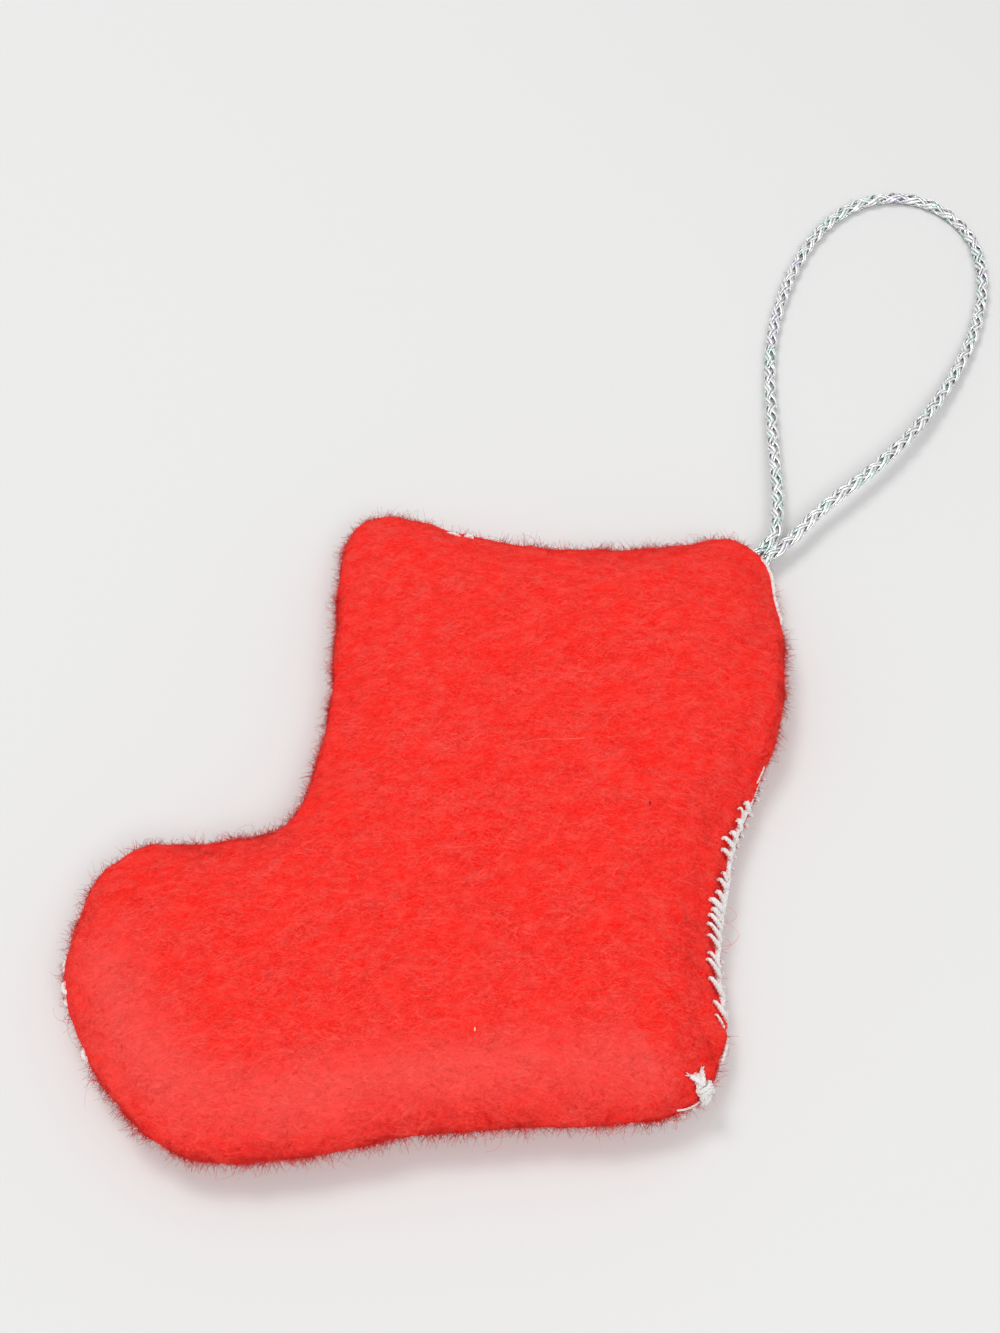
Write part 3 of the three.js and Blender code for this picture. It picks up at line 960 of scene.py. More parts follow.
@dataclass(frozen=True)
class Stitching:
    """The hand-sewn seam's stitches, as the felt and the thread both follow them."""

    shape: BootShape
    pitch: float = 0.0019
    slant: float = 0.0009
    last_row: float = 26.66
    wobble: float = 0.00022
    under_depth: float = 0.0024
    under_slant: float = 0.0020
    under_shoulder: float = 0.3
    shoulder_share: float = 0.4
    rim_share: float = 0.75
    thin_depth: float = 0.0014  # how deep a stitch of no thickness would lie
    step: float = 0.00016
    seed: int = 11
    # Places round the outline, and how many tenths of a millimetre the stitches draw the rim in there.
    pulls: Rows = (
        (0.7, 0), (1.2, 4), (1.7, 1), (2.4, 3), (3.1, 4), (3.4, 0), (6.0, 0),
        (6.6, 3), (7.2, 3), (7.6, 0), (10.6, 0), (11.0, 4), (11.7, 5),
        (12.3, 6), (12.9, 5), (13.5, 0), (15.8, 0), (16.3, 3), (21.2, 3),
        (21.6, 0), (22.4, 0), (22.8, -3), (23.1, 0), (23.3, 3), (24.0, 6),
        (24.9, 4), (25.3, 3), (25.8, 4), (26.6, 5), (27.4, 6), (28.1, 6),
        (29.3, 5), (29.8, 2), (30.2, 3), (30.5, 3), (30.8, 0), (31.1, -2),
        (31.5, 0), (34.3, 0), (34.7, 3), (35.0, 0), (36.6, 0), (37.1, -3),
        (37.5, -3), (37.9, 0),
    )
    # How much deeper than elsewhere the thread lies in along the heel, in tenths of a millimetre.
    sinks: Rows = (
        (22.0, 0), (22.2, 3), (22.9, 4), (23.3, 3), (24.2, 5), (24.7, 4),
        (25.1, 1), (25.4, 1), (25.7, 4), (26.6, 5), (27.0, 3), (27.6, 0),
    )
    # How far round the rim the thread is drawn up along the heel, in degrees.
    lifts: Rows = (
        (21.9, 0.0), (22.15, 26.0), (22.9, 30.0), (23.3, 36.0), (26.6, 34.0), (27.0, 12.0), (27.4, 0.0),
    )
    # Each stitch along the heel, from the top down: the space from the one above and how far in
    # from the rim its hole is, in tenths of a millimetre, and its thickness as a share of the
    # thread's.
    heel_stitches: Rows = (
        (0, 8, 1.35), (13, 13, 0.72), (18, 7, 1.40), (23, 9, 1.35), (16, 17.5, 1.25),
        (18, 14.5, 1.25), (33, 7, 1.00), (14, 11, 1.15), (20, 10.5, 1.30), (19, 18, 1.60),
        (12, 14, 1.50), (13, 18.5, 1.25), (15, 19.5, 1.15), (17, 19, 1.05), (27, 18.5, 1.00),
        (13, 21, 1.20), (28, 20.5, 1.30), (34, 19, 1.20), (17, 16.5, 0.62),
    )
    # A stitch's thickness along it, from its hole to the rim, as a share of its greatest.
    taper: Rows = ((0.0, 0.6), (0.3, 0.8), (0.65, 1.0), (1.0, 1.0))

    def pull(self, rows: Values) -> Array:
        """How far the stitches draw the rim in at places round the outline."""
        return between(self.pulls, rows, TENTHS)

    def sink(self, rows: Values) -> Array:
        """How deep the thread lies in along the heel, past how far the rim is drawn in there."""
        return between(self.sinks, rows, TENTHS)

    def heel_lift(self, rows: Values) -> Array:
        """How far the thread is drawn up round the rim, in degrees."""
        return between(self.lifts, rows)

    def legs(self) -> list[Array]:
        """The slanted stitches that show along the heel.

        Returns:
            The centre line of each, from its hole to the rim.
        """
        shape, radius = self.shape, self.shape.thread_radius
        rng = np.random.default_rng(self.seed)
        lines = []
        row = self.last_row
        for spacing, depth, share in np.array(self.heel_stitches) / (TENTHS, TENTHS, 1.0):
            row = shape.row_past(row, -spacing) if spacing else row
            foot_row = shape.row_past(row, -self.slant - rng.normal(0.0, self.wobble))
            parts = (0.0, self.shoulder_share, self.rim_share, 1.0)
            hole, shoulder, rim, foot = (shape.station(mix(row, foot_row, part)) for part in parts)
            pull = float(self.pull(row))
            sunk = max(1.0 - share, 0.0) * self.thin_depth
            tight = radius * 0.75 - pull - sunk
            hole_share = shape.share_at_inset(hole, depth)
            sunk_share = shape.share_at_inset(hole, depth + radius * 1.2)
            lift = float(self.heel_lift(foot_row))
            anchors = np.vstack([
                shape.crown(hole, sunk_share, radius * 2.2),
                shape.crown(hole, hole_share, -radius * 0.2),
                shape.roll(shoulder, shape.shoulder_angle, tight + radius * 0.5),
                shape.roll(rim, 12.0, tight),
                shape.thread_line(foot, pull + float(self.sink(foot_row)) + radius * 0.5, lift),
            ])
            lines.append(smooth_line(anchors, self.step))
        return lines

    def under_legs(self, start: float, end: float) -> list[Array]:
        """The stitches on the front panel, each from the rim round its cut edge to its hole.

        Args:
            start: The first place, in outline points.
            end: The last place.

        Returns:
            The centre line of each.
        """
        shape, radius = self.shape, self.shape.thread_radius
        rng = np.random.default_rng(self.seed + int(start * 10))
        lines = []
        for row in shape.rows_along(self.pitch, start, end):
            shift, deeper = rng.normal(0.0, self.wobble, 2)
            hole_row = shape.row_past(row, self.under_slant + shift)
            if hole_row > end:
                break
            parts = (0.0, self.under_shoulder, 1.0)
            foot, middle, hole = (shape.station(mix(row, hole_row, part)) for part in parts)
            edge, inner_edge = shape.front_edge(middle), shape.front_edge(hole)
            level = shape.belly_drop - shape.thread_off
            reach = inner_edge + self.under_depth + deeper
            anchors = np.vstack([
                shape.thread_line(foot),
                shape.at_inset(middle, edge - shape.thread_off, mix(level, shape.front_level, 0.45)),
                shape.at_inset(middle, edge + radius * 0.4, level + radius * 0.3),
                shape.at_inset(hole, reach - radius, level),
                shape.at_inset(hole, reach + radius, shape.belly_drop + radius),
            ])
            lines.append(smooth_line(anchors, self.step))
        return lines


@dataclass
class Panel:
    """One felt panel, as a closed body of rings that are filled in at both ends."""

    shape: BootShape
    stitching: Stitching
    tails: list[Array]
    finish: Material
    ring_points: int = 936
    fill_spacing: float = 0.0006
    tail_room: float = 0.00107

    def body(self, rings: Sequence[Array], weights: Sequence[float]) -> tuple[Array, Array, list]:
        """Joins rings into a closed body.

        Args:
            rings: The rings, from the top cap round to the bottom cap.
            weights: How much each ring follows the felt's relief.

        Returns:
            The points, their weights, and the arrays of faces.
        """
        count = len(rings[0])
        number = np.arange(len(rings) * count).reshape(len(rings), count)
        here, there = number[:-1], number[1:]
        walls = np.stack([here, there, np.roll(there, -1, 1), np.roll(here, -1, 1)], axis=-1)
        points, faces = [np.vstack(rings)], [walls.reshape(-1, 4)]
        shares = [np.repeat(weights, count)]
        total = len(rings) * count
        for ring, first, turned in ((rings[0], 0, False), (rings[-1], number[-1, 0], True)):
            extra, triangles = filled_ring(ring[:, :2], self.fill_spacing)
            numbers = np.where(triangles < count, triangles + first, triangles - count + total)
            faces.append(numbers[:, ::-1] if turned else numbers)
            points.append(np.column_stack([extra, np.full(len(extra), ring[:, 2].mean())]))
            shares.append(np.full(len(extra), weights[-1] if turned else weights[0]))
            total += len(extra)
        return np.vstack(points), np.concatenate(shares), faces

    def piece(self, name: str, rings: Sequence[Array], weights: Sequence[float], relief: PointRule) -> Piece:
        """Makes the panel's object, with its relief.

        Args:
            name: The object's name.
            rings: Its rings, from the top cap round to the bottom cap.
            weights: How much each ring follows the relief.
            relief: The height of the relief, from points and their weights.

        Returns:
            The object.
        """
        points, shares, faces = self.body(rings, weights)
        draft = MeshDraft()
        draft.add(points, faces)
        piece = draft.piece(name, [self.finish])
        normals = mesh_values(piece.data.vertex_normals, "vector")
        moved = points + normals * relief(points, shares)[:, None]
        for line in self.tails:
            moved = pushed_clear(moved, line, self.tail_room)
        moved[:, 2] = np.maximum(moved[:, 2], 0.0)
        piece.data.vertices.foreach_set("co", moved.astype(np.float32).ravel())
        piece.data.update()
        return piece


@dataclass
class ClothPress:
    """Cloth simulation of a felt panel that the filling pushes up from inside its seam."""

    shape: BootShape
    scale: float = 10.0
    ring_points: int = 260
    lattice: float = 0.0022
    frames: int = 20
    pressure: float = 3.0
    slack: float = -0.012
    cap: float = 0.0007

    def blank(self) -> tuple[Array, list[Array], int]:
        """A plain copy of the panel's crown.

        Returns:
            Its points, its faces, and how many of its points the seam holds.
        """
        shape = self.shape
        at = shape.around(self.ring_points)
        rings = [shape.roll(at, angle) for angle in (0.0, 30.0)]
        rings += [shape.crown(at, share) for share in np.linspace(0.0, 1.0, 9) ** 1.2]
        count = self.ring_points
        number = np.arange(len(rings) * count).reshape(len(rings), count)
        here, there = number[:-1], number[1:]
        walls = np.stack([here, np.roll(here, -1, 1), np.roll(there, -1, 1), there], axis=-1)
        inside, triangles = filled_ring(rings[-1][:, :2], self.lattice)
        first = number[-1, 0]
        total = len(rings) * count
        numbers = np.where(triangles < count, triangles + first, triangles - count + total)
        level = np.full(len(inside), shape.crown_level)
        points = np.vstack([*rings, np.column_stack([inside, level])])
        return points, [walls.reshape(-1, 4), numbers], 2 * count

    def rise(self) -> PlanField:
        """Runs the simulation.

        Returns:
            How far the felt rises at each place, or sinks where the value is below zero.
        """
        points, faces, held = self.blank()
        draft = MeshDraft()
        draft.add(points * self.scale, faces)
        sheet = draft.piece("felt_blank", [])
        seam = sheet.vertex_groups.new(name="seam")
        seam.add(list(range(held)), 1.0, "REPLACE")
        cloth = sheet.modifiers.new("cloth", "CLOTH")
        settings = cloth.settings
        settings.quality = 6
        settings.mass = 0.4
        settings.tension_stiffness = settings.compression_stiffness = 25.0
        settings.shear_stiffness = 12.0
        settings.bending_stiffness = 8.0
        settings.shrink_min = self.slack
        settings.vertex_group_mass = "seam"
        settings.pin_stiffness = 1.0
        settings.use_pressure = True
        settings.uniform_pressure_force = self.pressure
        settings.effector_weights.gravity = 0.0
        scene = bpy.context.scene
        for frame_number in range(1, self.frames + 1):
            scene.frame_set(frame_number)
        after = sheet.evaluated_get(bpy.context.evaluated_depsgraph_get()).data
        rise = mesh_values(after.vertices, "co")[:, 2] / self.scale - points[:, 2]
        bpy.data.objects.remove(sheet)
        scene.frame_set(1)
        log.info("cloth: rises %.2f to %.2f mm", rise.min() * 1000, rise.max() * 1000)
        free = rise[held:] - np.median(rise[held:])
        spread = max(float(np.percentile(np.abs(free), 98)), 1e-9)
        level = np.zeros(len(points))
        level[held:] = np.clip(free / spread, -1.0, 1.0) * self.cap
        return PlanField.through(points[:, :2], level, self.lattice)


@dataclass
class BackPanel(Panel):
    """The panel that faces up: its rim rolls over the seam, except along the heel."""

    swells: Rows = ((0.014, 0.00026), (0.0055, 0.00013), (0.0019, 0.00005))
    grain: tuple[float, float] = (0.0008, 0.00004)
    puckers: Rows = ((0.0042, 0.00018), (0.0017, 0.00010))
    pucker_reach: float = 0.0030
    dent_start: tuple[float, float] = (-0.0258, -0.0268)
    dent_end: tuple[float, float] = (-0.0017, -0.0112)
    dent_depth: float = 0.0005
    dent_width: float = 0.0060
    groove_depth: float = 0.00034
    groove_width: float = 0.00045
    pull_reach: float = 0.0011
    rim_steps: int = 900
    # The felt is painted lighter in a band inside the rim of the toe and the sole: a painted highlight where
    # those slopes face the light.
    painted_light_rows: tuple[float, float] = (10.5, 22.0)
    painted_light_inset: float = 0.0065
    painted_light_reach: float = 0.0050
    noise: Noise = Noise(3)

    def rim_reach(self, points: Array) -> tuple[Array, Array]:
        """How far points lie from the rim in plan, and the nearest places on it in outline points."""
        rows = np.linspace(0, self.shape.point_count, self.rim_steps, endpoint=False)
        apart, nearest = distance_to(flat(points), flat(self.shape.rim(rows)))
        return apart, rows[nearest]

    def painted_edge_light(self, points: Array) -> Array:
        """How strongly the painted highlight lightens the felt, in a band inside the toe and sole rim.

        Args:
            points: Points on the felt.

        Returns:
            0 to 1 for each point.
        """
        apart, rows = self.rim_reach(points)
        start, end = self.painted_light_rows
        ends = np.clip(np.minimum(rows - start, end - rows) * 0.8, 0, 1)
        band = np.exp(-(((apart - self.painted_light_inset) / self.painted_light_reach) ** 2))
        patchy = 0.85 + 0.35 * self.noise.at(points, 0.007)
        return np.clip(band * ends * patchy * (points[:, 2] > self.shape.seam_level), 0, 1)

    def relief(self, points: Array, weights: Array) -> Array:
        """Height of the felt's swells, puckers, dent and stitch grooves.

        Args:
            points: The panel's points.
            weights: How much each point follows them.

        Returns:
            One height for each point.
        """
        height = sum(self.noise.at(points, size) * depth for size, depth in (*self.swells, self.grain))
        apart, rows = self.rim_reach(points)
        near_rim = np.exp(-((apart / self.pucker_reach) ** 2))
        puckers = sum(self.noise.at(points + 0.5, size) * depth for size, depth in self.puckers)
        height = height + near_rim * puckers
        start, end = np.array(self.dent_start), np.array(self.dent_end)
        along = np.clip((points[:, :2] - start) @ (end - start) / np.sum((end - start) ** 2), 0, 1)
        off = np.linalg.norm(points[:, :2] - mix(start, end, along[:, None]), axis=1)
        height = height - self.dent_depth * np.exp(-((off / self.dent_width) ** 2))
        height = height - self.stitching.pull(rows) * np.clip(1.6 - apart / self.pull_reach, 0.0, 1.0)
        legs = np.vstack(self.stitching.legs())
        reach = self.groove_width * 5
        low, high = legs.min(axis=0) - reach, legs.max(axis=0) + reach
        near = np.flatnonzero(np.all((points > low) & (points < high), axis=1) & (weights > 0))
        to_leg, _ = distance_to(points[near], legs)
        bulge = np.exp(-((to_leg / (self.groove_width * 3.2)) ** 2)) * self.groove_depth * 0.6
        height[near] += bulge - self.groove_depth * 1.6 * np.exp(-((to_leg / self.groove_width) ** 2))
        rise = ClothPress(self.shape).rise()
        height = height + rise.at(points[:, :2]) * (points[:, 2] > self.shape.seam_level)
        return height * weights

    def build(self) -> Piece:
        """Builds the panel.

        Returns:
            Its object.
        """
        shape = self.shape
        at = shape.around(self.ring_points)
        rings = [shape.crown(at, share) for share in np.linspace(1.0, 0.0, 34)[:-1] ** 1.35]
        weights = [1.0] * len(rings)
        for angle in np.linspace(shape.shoulder_angle, shape.tuck_angle, 18):
            rings.append(shape.roll(at, angle))
            weights.append(float(np.clip((angle + 75) / 60, 0.0, 1.0)))
        band = shape.hollow(at, 0.0, shape.seam_level)
        rings += [mix(rings[-1], band, share) for share in (0.25, 0.5, 0.75)] + [band]
        rings += [shape.hollow(at, share) for share in np.linspace(0.0, 1.0, 14)[1:] ** 1.4]
        weights += [0.0] * (len(rings) - len(weights))
        piece = self.piece("back_felt", rings, weights, self.relief)
        # stores the painted highlight's strength on each point, for the felt's material to read
        painted_edge_light = self.painted_edge_light(mesh_values(piece.data.vertices, "co").astype(float))
        values = piece.data.attributes.new("painted_edge_light", "FLOAT", "POINT").data
        values.foreach_set("value", painted_edge_light.astype(np.float32))
        return piece


@dataclass
class FrontPanel(Panel):
    """The panel on the table: a flat belly, and a cut edge behind the back panel's rolled rim."""

    ring_points: int = 780
    fill_spacing: float = 0.0009
    edge_round: float = 0.0003
    edge_wander: float = 0.00018
    swells: Rows = ((0.009, 0.00008), (0.0022, 0.00005))
    noise: Noise = Noise(5)

    def relief(self, points: Array, weights: Array) -> Array:
        """Height of the felt's swells."""
        return weights * sum(self.noise.at(points, size) * depth for size, depth in self.swells)

    def build(self) -> Piece:
        """Builds the panel.

        Returns:
            Its object.
        """
        shape = self.shape
        at = shape.around(self.ring_points)
        edge = shape.front_edge(at)
        edge_line = shape.at_inset(at, edge, 0.0)
        edge = edge + np.maximum(self.noise.at(edge_line, 0.0011), -0.4) * self.edge_wander
        shares = np.linspace(shape.belly_flat_share, 0.0, 12)
        rings = [shape.hollow(at, share, shape.belly(share) + shape.felt) for share in shares]
        band = shape.at_inset(at, edge + self.edge_round, shape.front_level)
        rings += [mix(rings[-1], band, part) for part in (0.33, 0.67)]
        high, low = shape.front_level - self.edge_round, shape.belly_drop + self.edge_round
        for angles, middle in (((90, 60, 30, 0), high), ((0, -30, -60, -90), low)):
            for turn in map(math.radians, angles):
                inset = edge + self.edge_round * (1 - math.cos(turn))
                rings.append(shape.at_inset(at, inset, middle + self.edge_round * math.sin(turn)))
        rings.insert(-4, shape.at_inset(at, edge + self.edge_wander * 0.5, mix(low, high, 0.5)))
        low_band = shape.hollow(at, 0.0, shape.belly_drop)
        rings += [mix(rings[-1], low_band, part) for part in (0.33, 0.67)]
        rings += [shape.hollow(at, share, shape.belly(share)) for share in shares[::-1]]
        weights = [0.0] * 14 + [0.6] * 9 + [1.0] * 14
        return self.piece("front_felt", rings, weights, self.relief)


@dataclass
class Filling(Panel):
    """Loose white fibre between the panels."""

    ring_points: int = 390
    fill_spacing: float = 0.0012
    tail_room: float = 0.0011
    lump_size: float = 0.0030
    lump_depth: float = 0.00025
    noise: Noise = Noise(8)

    def relief(self, points: Array, weights: Array) -> Array:
        """Depth of the hollows between its lumps."""
        lumps = self.noise.at(points, self.lump_size) + 0.5 * self.noise.at(points, self.lump_size / 3)
        return -weights * self.lump_depth * np.abs(lumps)

    def build(self) -> Piece:
        """Builds the filling.

        Returns:
            Its object.
        """
        shape = self.shape
        at = shape.around(self.ring_points)
        clear = shape.filling_clearance
        rings = [shape.hollow(at, share) - clear * UP for share in np.linspace(1.0, 0.16, 12)]
        rings.append(shape.hollow(at, 0.06, shape.seam_level))
        under = shape.felt + clear
        rings += [shape.hollow(at, share, shape.belly(share) + under) for share in (0.18, 0.28, 0.39, 0.5)]
        return self.piece("filling_fibre", rings, [1.0] * len(rings), self.relief)


@dataclass(frozen=True)
class Cord:
    """The braided cord: where it runs, and how its foil strips cross."""

    shape: BootShape
    diameter: float = 0.0019
    gap: float = 0.0004
    root_spacing: float = 0.0018
    exit_row: float = 31.95
    exit_direction: float = 45.0
    root_reach: float = 0.0028
    knot_depth: float = 0.013
    knot_bed: float = 0.0006
    knot_thickness: float = 0.0044
    knot_length: float = 0.0062
    end_length: float = 0.0055
    end_spread: float = 24.0
    carriers: int = 6
    strips: int = 2
    lay: float = 0.0112
    strip_width: float = 0.00058
    strip_thickness: float = 0.00009
    strip_rise: float = 0.00015
    strip_overlap: float = 0.92
    wander: float = 0.16
    tilt: float = 0.3
    proud: float = 0.00005
    core_radius: float = 0.00058
    step: float = 0.00030
    flutter: float = 0.00003
    noise: Noise = Noise(21)

    @property
    def radius(self) -> float:
        """Half the cord's diameter."""
        return self.diameter / 2

    @property
    def outward(self) -> Array:
        """The direction in which the cord leaves the seam."""
        turn = math.radians(self.exit_direction)
        return np.array([math.cos(turn), math.sin(turn), 0.0])

    @property
    def across(self) -> Array:
        """The direction from the right tail to the left one."""
        return np.cross(UP, self.outward)

    @property
    def exit_rim(self) -> Array:
        """Where the two tails leave the rim."""
        shape = self.shape
        at = shape.station(self.exit_row)
        return shape.at_inset(at, 0.0, shape.front_level + shape.panel_gap / 2)[0]

    @property
    def bend(self) -> Array:
        """A point just out from the rim, between the roots of the loop's two legs."""
        return self.exit_rim + self.outward * self.root_reach

    def root(self, side: int) -> Array:
        """The start of the loop's left leg at side 1, and of its right leg at side -1."""
        return self.bend + self.across * (side * self.root_spacing / 2)

    def knot_middle(self) -> Array:
        """The middle of the knot inside the boot."""
        point = self.exit_rim - self.outward * self.knot_depth
        point[2] = self.shape.felt + self.shape.filling_clearance + self.knot_bed + self.knot_thickness / 2
        return point

    def tail_points(self, side: int) -> list[Array]:
        """The points that a tail runs through.

        Args:
            side: 1 for the left tail, -1 for the right one.

        Returns:
            The points, from its cut end through the knot to the seam.
        """
        middle = self.knot_middle()
        turn = math.radians(-side * self.end_spread)
        spread = self.outward * math.cos(turn) + self.across * math.sin(turn)
        spacing = self.across * (side * self.root_spacing / 2)
        return [
            middle - spread * (self.knot_length / 2 + self.end_length - self.radius),
            middle - spread * (self.knot_length / 2),
            middle + self.across * (side * self.radius * 0.9),
            self.exit_rim + spacing - self.outward * self.shape.seam_margin,
            self.root(side) - self.outward * (self.diameter + self.gap),
        ]

    def line(self) -> tuple[Array, int, int]:
        """The whole cord's centre line.

        Returns:
            Its points, and the numbers of those where the loop begins and ends.
        """
        free = np.array(CORD_ROUTE) / TENTHS + self.radius * UP
        anchors = [*self.tail_points(1), self.root(1), *free, self.root(-1), *self.tail_points(-1)[::-1]]
        points = smooth_line(anchors, self.step)
        start = int(np.argmin(np.linalg.norm(points - self.loop_start(1), axis=1)))
        end = int(np.argmin(np.linalg.norm(points - self.loop_start(-1), axis=1)))
        return points, start, end

    def loop_start(self, side: int) -> Array:
        """Where a leg of the loop takes over from its tail, a little inside the bend."""
        return self.root(side) - self.outward * (self.radius * 0.9)

    def tail_lines(self) -> list[Array]:
        """The two tails' centre lines, from the knot to the bend."""
        points, start, end = self.line()
        return [points[:start], points[end:]]

    def braid(self, draft: MeshDraft, points: Array, first: int, last: int) -> None:
        """Adds a stretch of braid to a draft.

        Args:
            draft: The draft.
            points: The whole cord's centre line.
            first: The number of the stretch's first point.
            last: The number of its last.
        """
        _, normal, side = carried_frame(points)
        along = lengths_along(points)
        stretch = slice(first, last + 1)
        wave = math.pi * self.carriers * along / self.lay
        lines, faces, widths = [], [], []
        for carrier, strip in itertools.product(range(self.carriers), range(self.strips)):
            way = 1 if carrier % 2 else -1
            place = (carrier // 2) * 2 / self.carriers
            off = strip - (self.strips - 1) / 2
            beside = off * self.strip_width * self.strip_overlap / (self.radius * 0.8)
            wander = self.noise.at(points + carrier * 0.013 + strip * 0.0031, 0.0024)
            turn = 2 * math.pi * (way * along / self.lay + place) + beside + wander * self.wander
            rise = way * np.cos(wave) * self.strip_rise - way * self.proud
            flutter = self.noise.at(points + strip * 0.0071 + carrier * 0.0029, 0.0009) * self.flutter
            reach = self.radius - self.strip_thickness / 2 - self.strip_rise * 0.5 + rise + flutter
            outward = np.cos(turn)[:, None] * normal + np.sin(turn)[:, None] * side
            lines.append(points + outward * reach[:, None])
            tilt = self.noise.at(points + carrier * 0.0053 + strip * 0.0023, 0.0013)[:, None] * self.tilt
            around = -np.sin(turn)[:, None] * normal + np.cos(turn)[:, None] * side
            faces.append(unit(outward + around * tilt))
            widths.append(1.0 - way * 0.14)
        lines, faces = np.array(lines)[:, stretch], np.array(faces)[:, stretch]
        lines[:, :, 2] = np.maximum(lines[:, :, 2], self.strip_width / 2)
        breadth = 1 + 0.2 * self.noise.at(lines.reshape(-1, 3), 0.0016).reshape(lines.shape[:2])
        breadth = breadth * np.array(widths)[:, None]
        half_width = self.strip_width / 2 * breadth
        draft.add_tubes(lines, half_width, self.strip_thickness / 2, sides=4, normals=faces)
        draft.add_tubes(points[None, stretch], self.core_radius, sides=8, finish=1)


@dataclass
class HangingLoop:
    """The free loop that the ornament hangs by."""

    cord: Cord
    foil: Material
    core: Material
    stray_places: tuple[float, ...] = (
        0.326, 0.365, 0.400, 0.404, 0.418, 0.435, 0.438, 0.443, 0.446, 0.449, 0.466, 0.469, 0.474, 0.505,
    )
    stray_length: float = 0.0017
    stray_radius: float = 0.000032
    bend_reach: float = 0.0042

    def strays(self, draft: MeshDraft, loop: Array) -> None:
        """Adds the few foil hairs that stand off the top of the loop.

        Args:
            draft: The draft.
            loop: The loop's centre line.
        """
        rng = np.random.default_rng(31)
        for share in self.stray_places:
            number = int(share * len(loop))
            tangent = unit(loop[number + 1] - loop[number - 1])
            away = unit(np.cross(tangent, UP) + tangent * rng.normal(0, 0.35) + UP * 0.25)
            away = away if away @ (loop[number] - loop.mean(axis=0)) > 0 else -away
            base = loop[number] + away * self.cord.radius * 0.8
            tip = base + away * self.stray_length * rng.uniform(0.6, 1.2)
            middle = (base + tip) / 2 + tangent * rng.normal(0, 0.0002)
            hair = smooth_line([base, middle, tip], self.stray_length / 8)
            draft.add_tubes(hair[None], self.stray_radius, sides=4, finish=int(rng.random() < 0.5))

    def build(self) -> None:
        """Builds the loop, from where it leaves the boot."""
        cord = self.cord
        points, start, end = cord.line()
        loop = points[start:end + 1]
        draft = MeshDraft()
        cord.braid(draft, points, start, end)
        self.strays(draft, loop)
        piece = draft.piece("loop_braid", [self.foil, self.core])
        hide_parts("hanger_cord")
        tuple(cord.bend - cord.outward * cord.radius)
        tuple(cord.bend + cord.outward * self.bend_reach)
        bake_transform(piece)
        tuple(cord.root(1))
        log.info("%s: %.1f mm of cord", piece.name, lengths_along(loop)[-1] * 1000)


@dataclass
class HiddenTails:
    """The cord's two tails, the knot that holds them between the panels, and its cut ends."""

    cord: Cord
    foil: Material
    core: Material
    wraps: float = 2.25
    wrap_length: float = 0.0040
    wrap_radius: float = 0.00145

    def build(self) -> None:
        """Builds the tails and their knot."""
        cord = self.cord
        points, start, end = cord.line()
        draft = MeshDraft()
        cord.braid(draft, points, 0, start)
        cord.braid(draft, points, end, len(points) - 1)
        turn = np.linspace(0, 2 * math.pi * self.wraps, 60)
        along = np.linspace(-0.5, 0.5, 60) * self.wrap_length
        middle = cord.knot_middle()
        wrap = middle + cord.outward * along[:, None]
        wrap = wrap + cord.across * (np.cos(turn) * self.wrap_radius * 1.1)[:, None]
        wrap = wrap + UP * (np.sin(turn) * self.wrap_radius * 0.75)[:, None]
        wrapped = respaced(wrap, cord.step)
        cord.braid(draft, wrapped, 0, len(wrapped) - 1)
        piece = draft.piece("tails_and_knot", [self.foil, self.core])
        settled(piece, Body.BOOT, ["hanger_knot"])


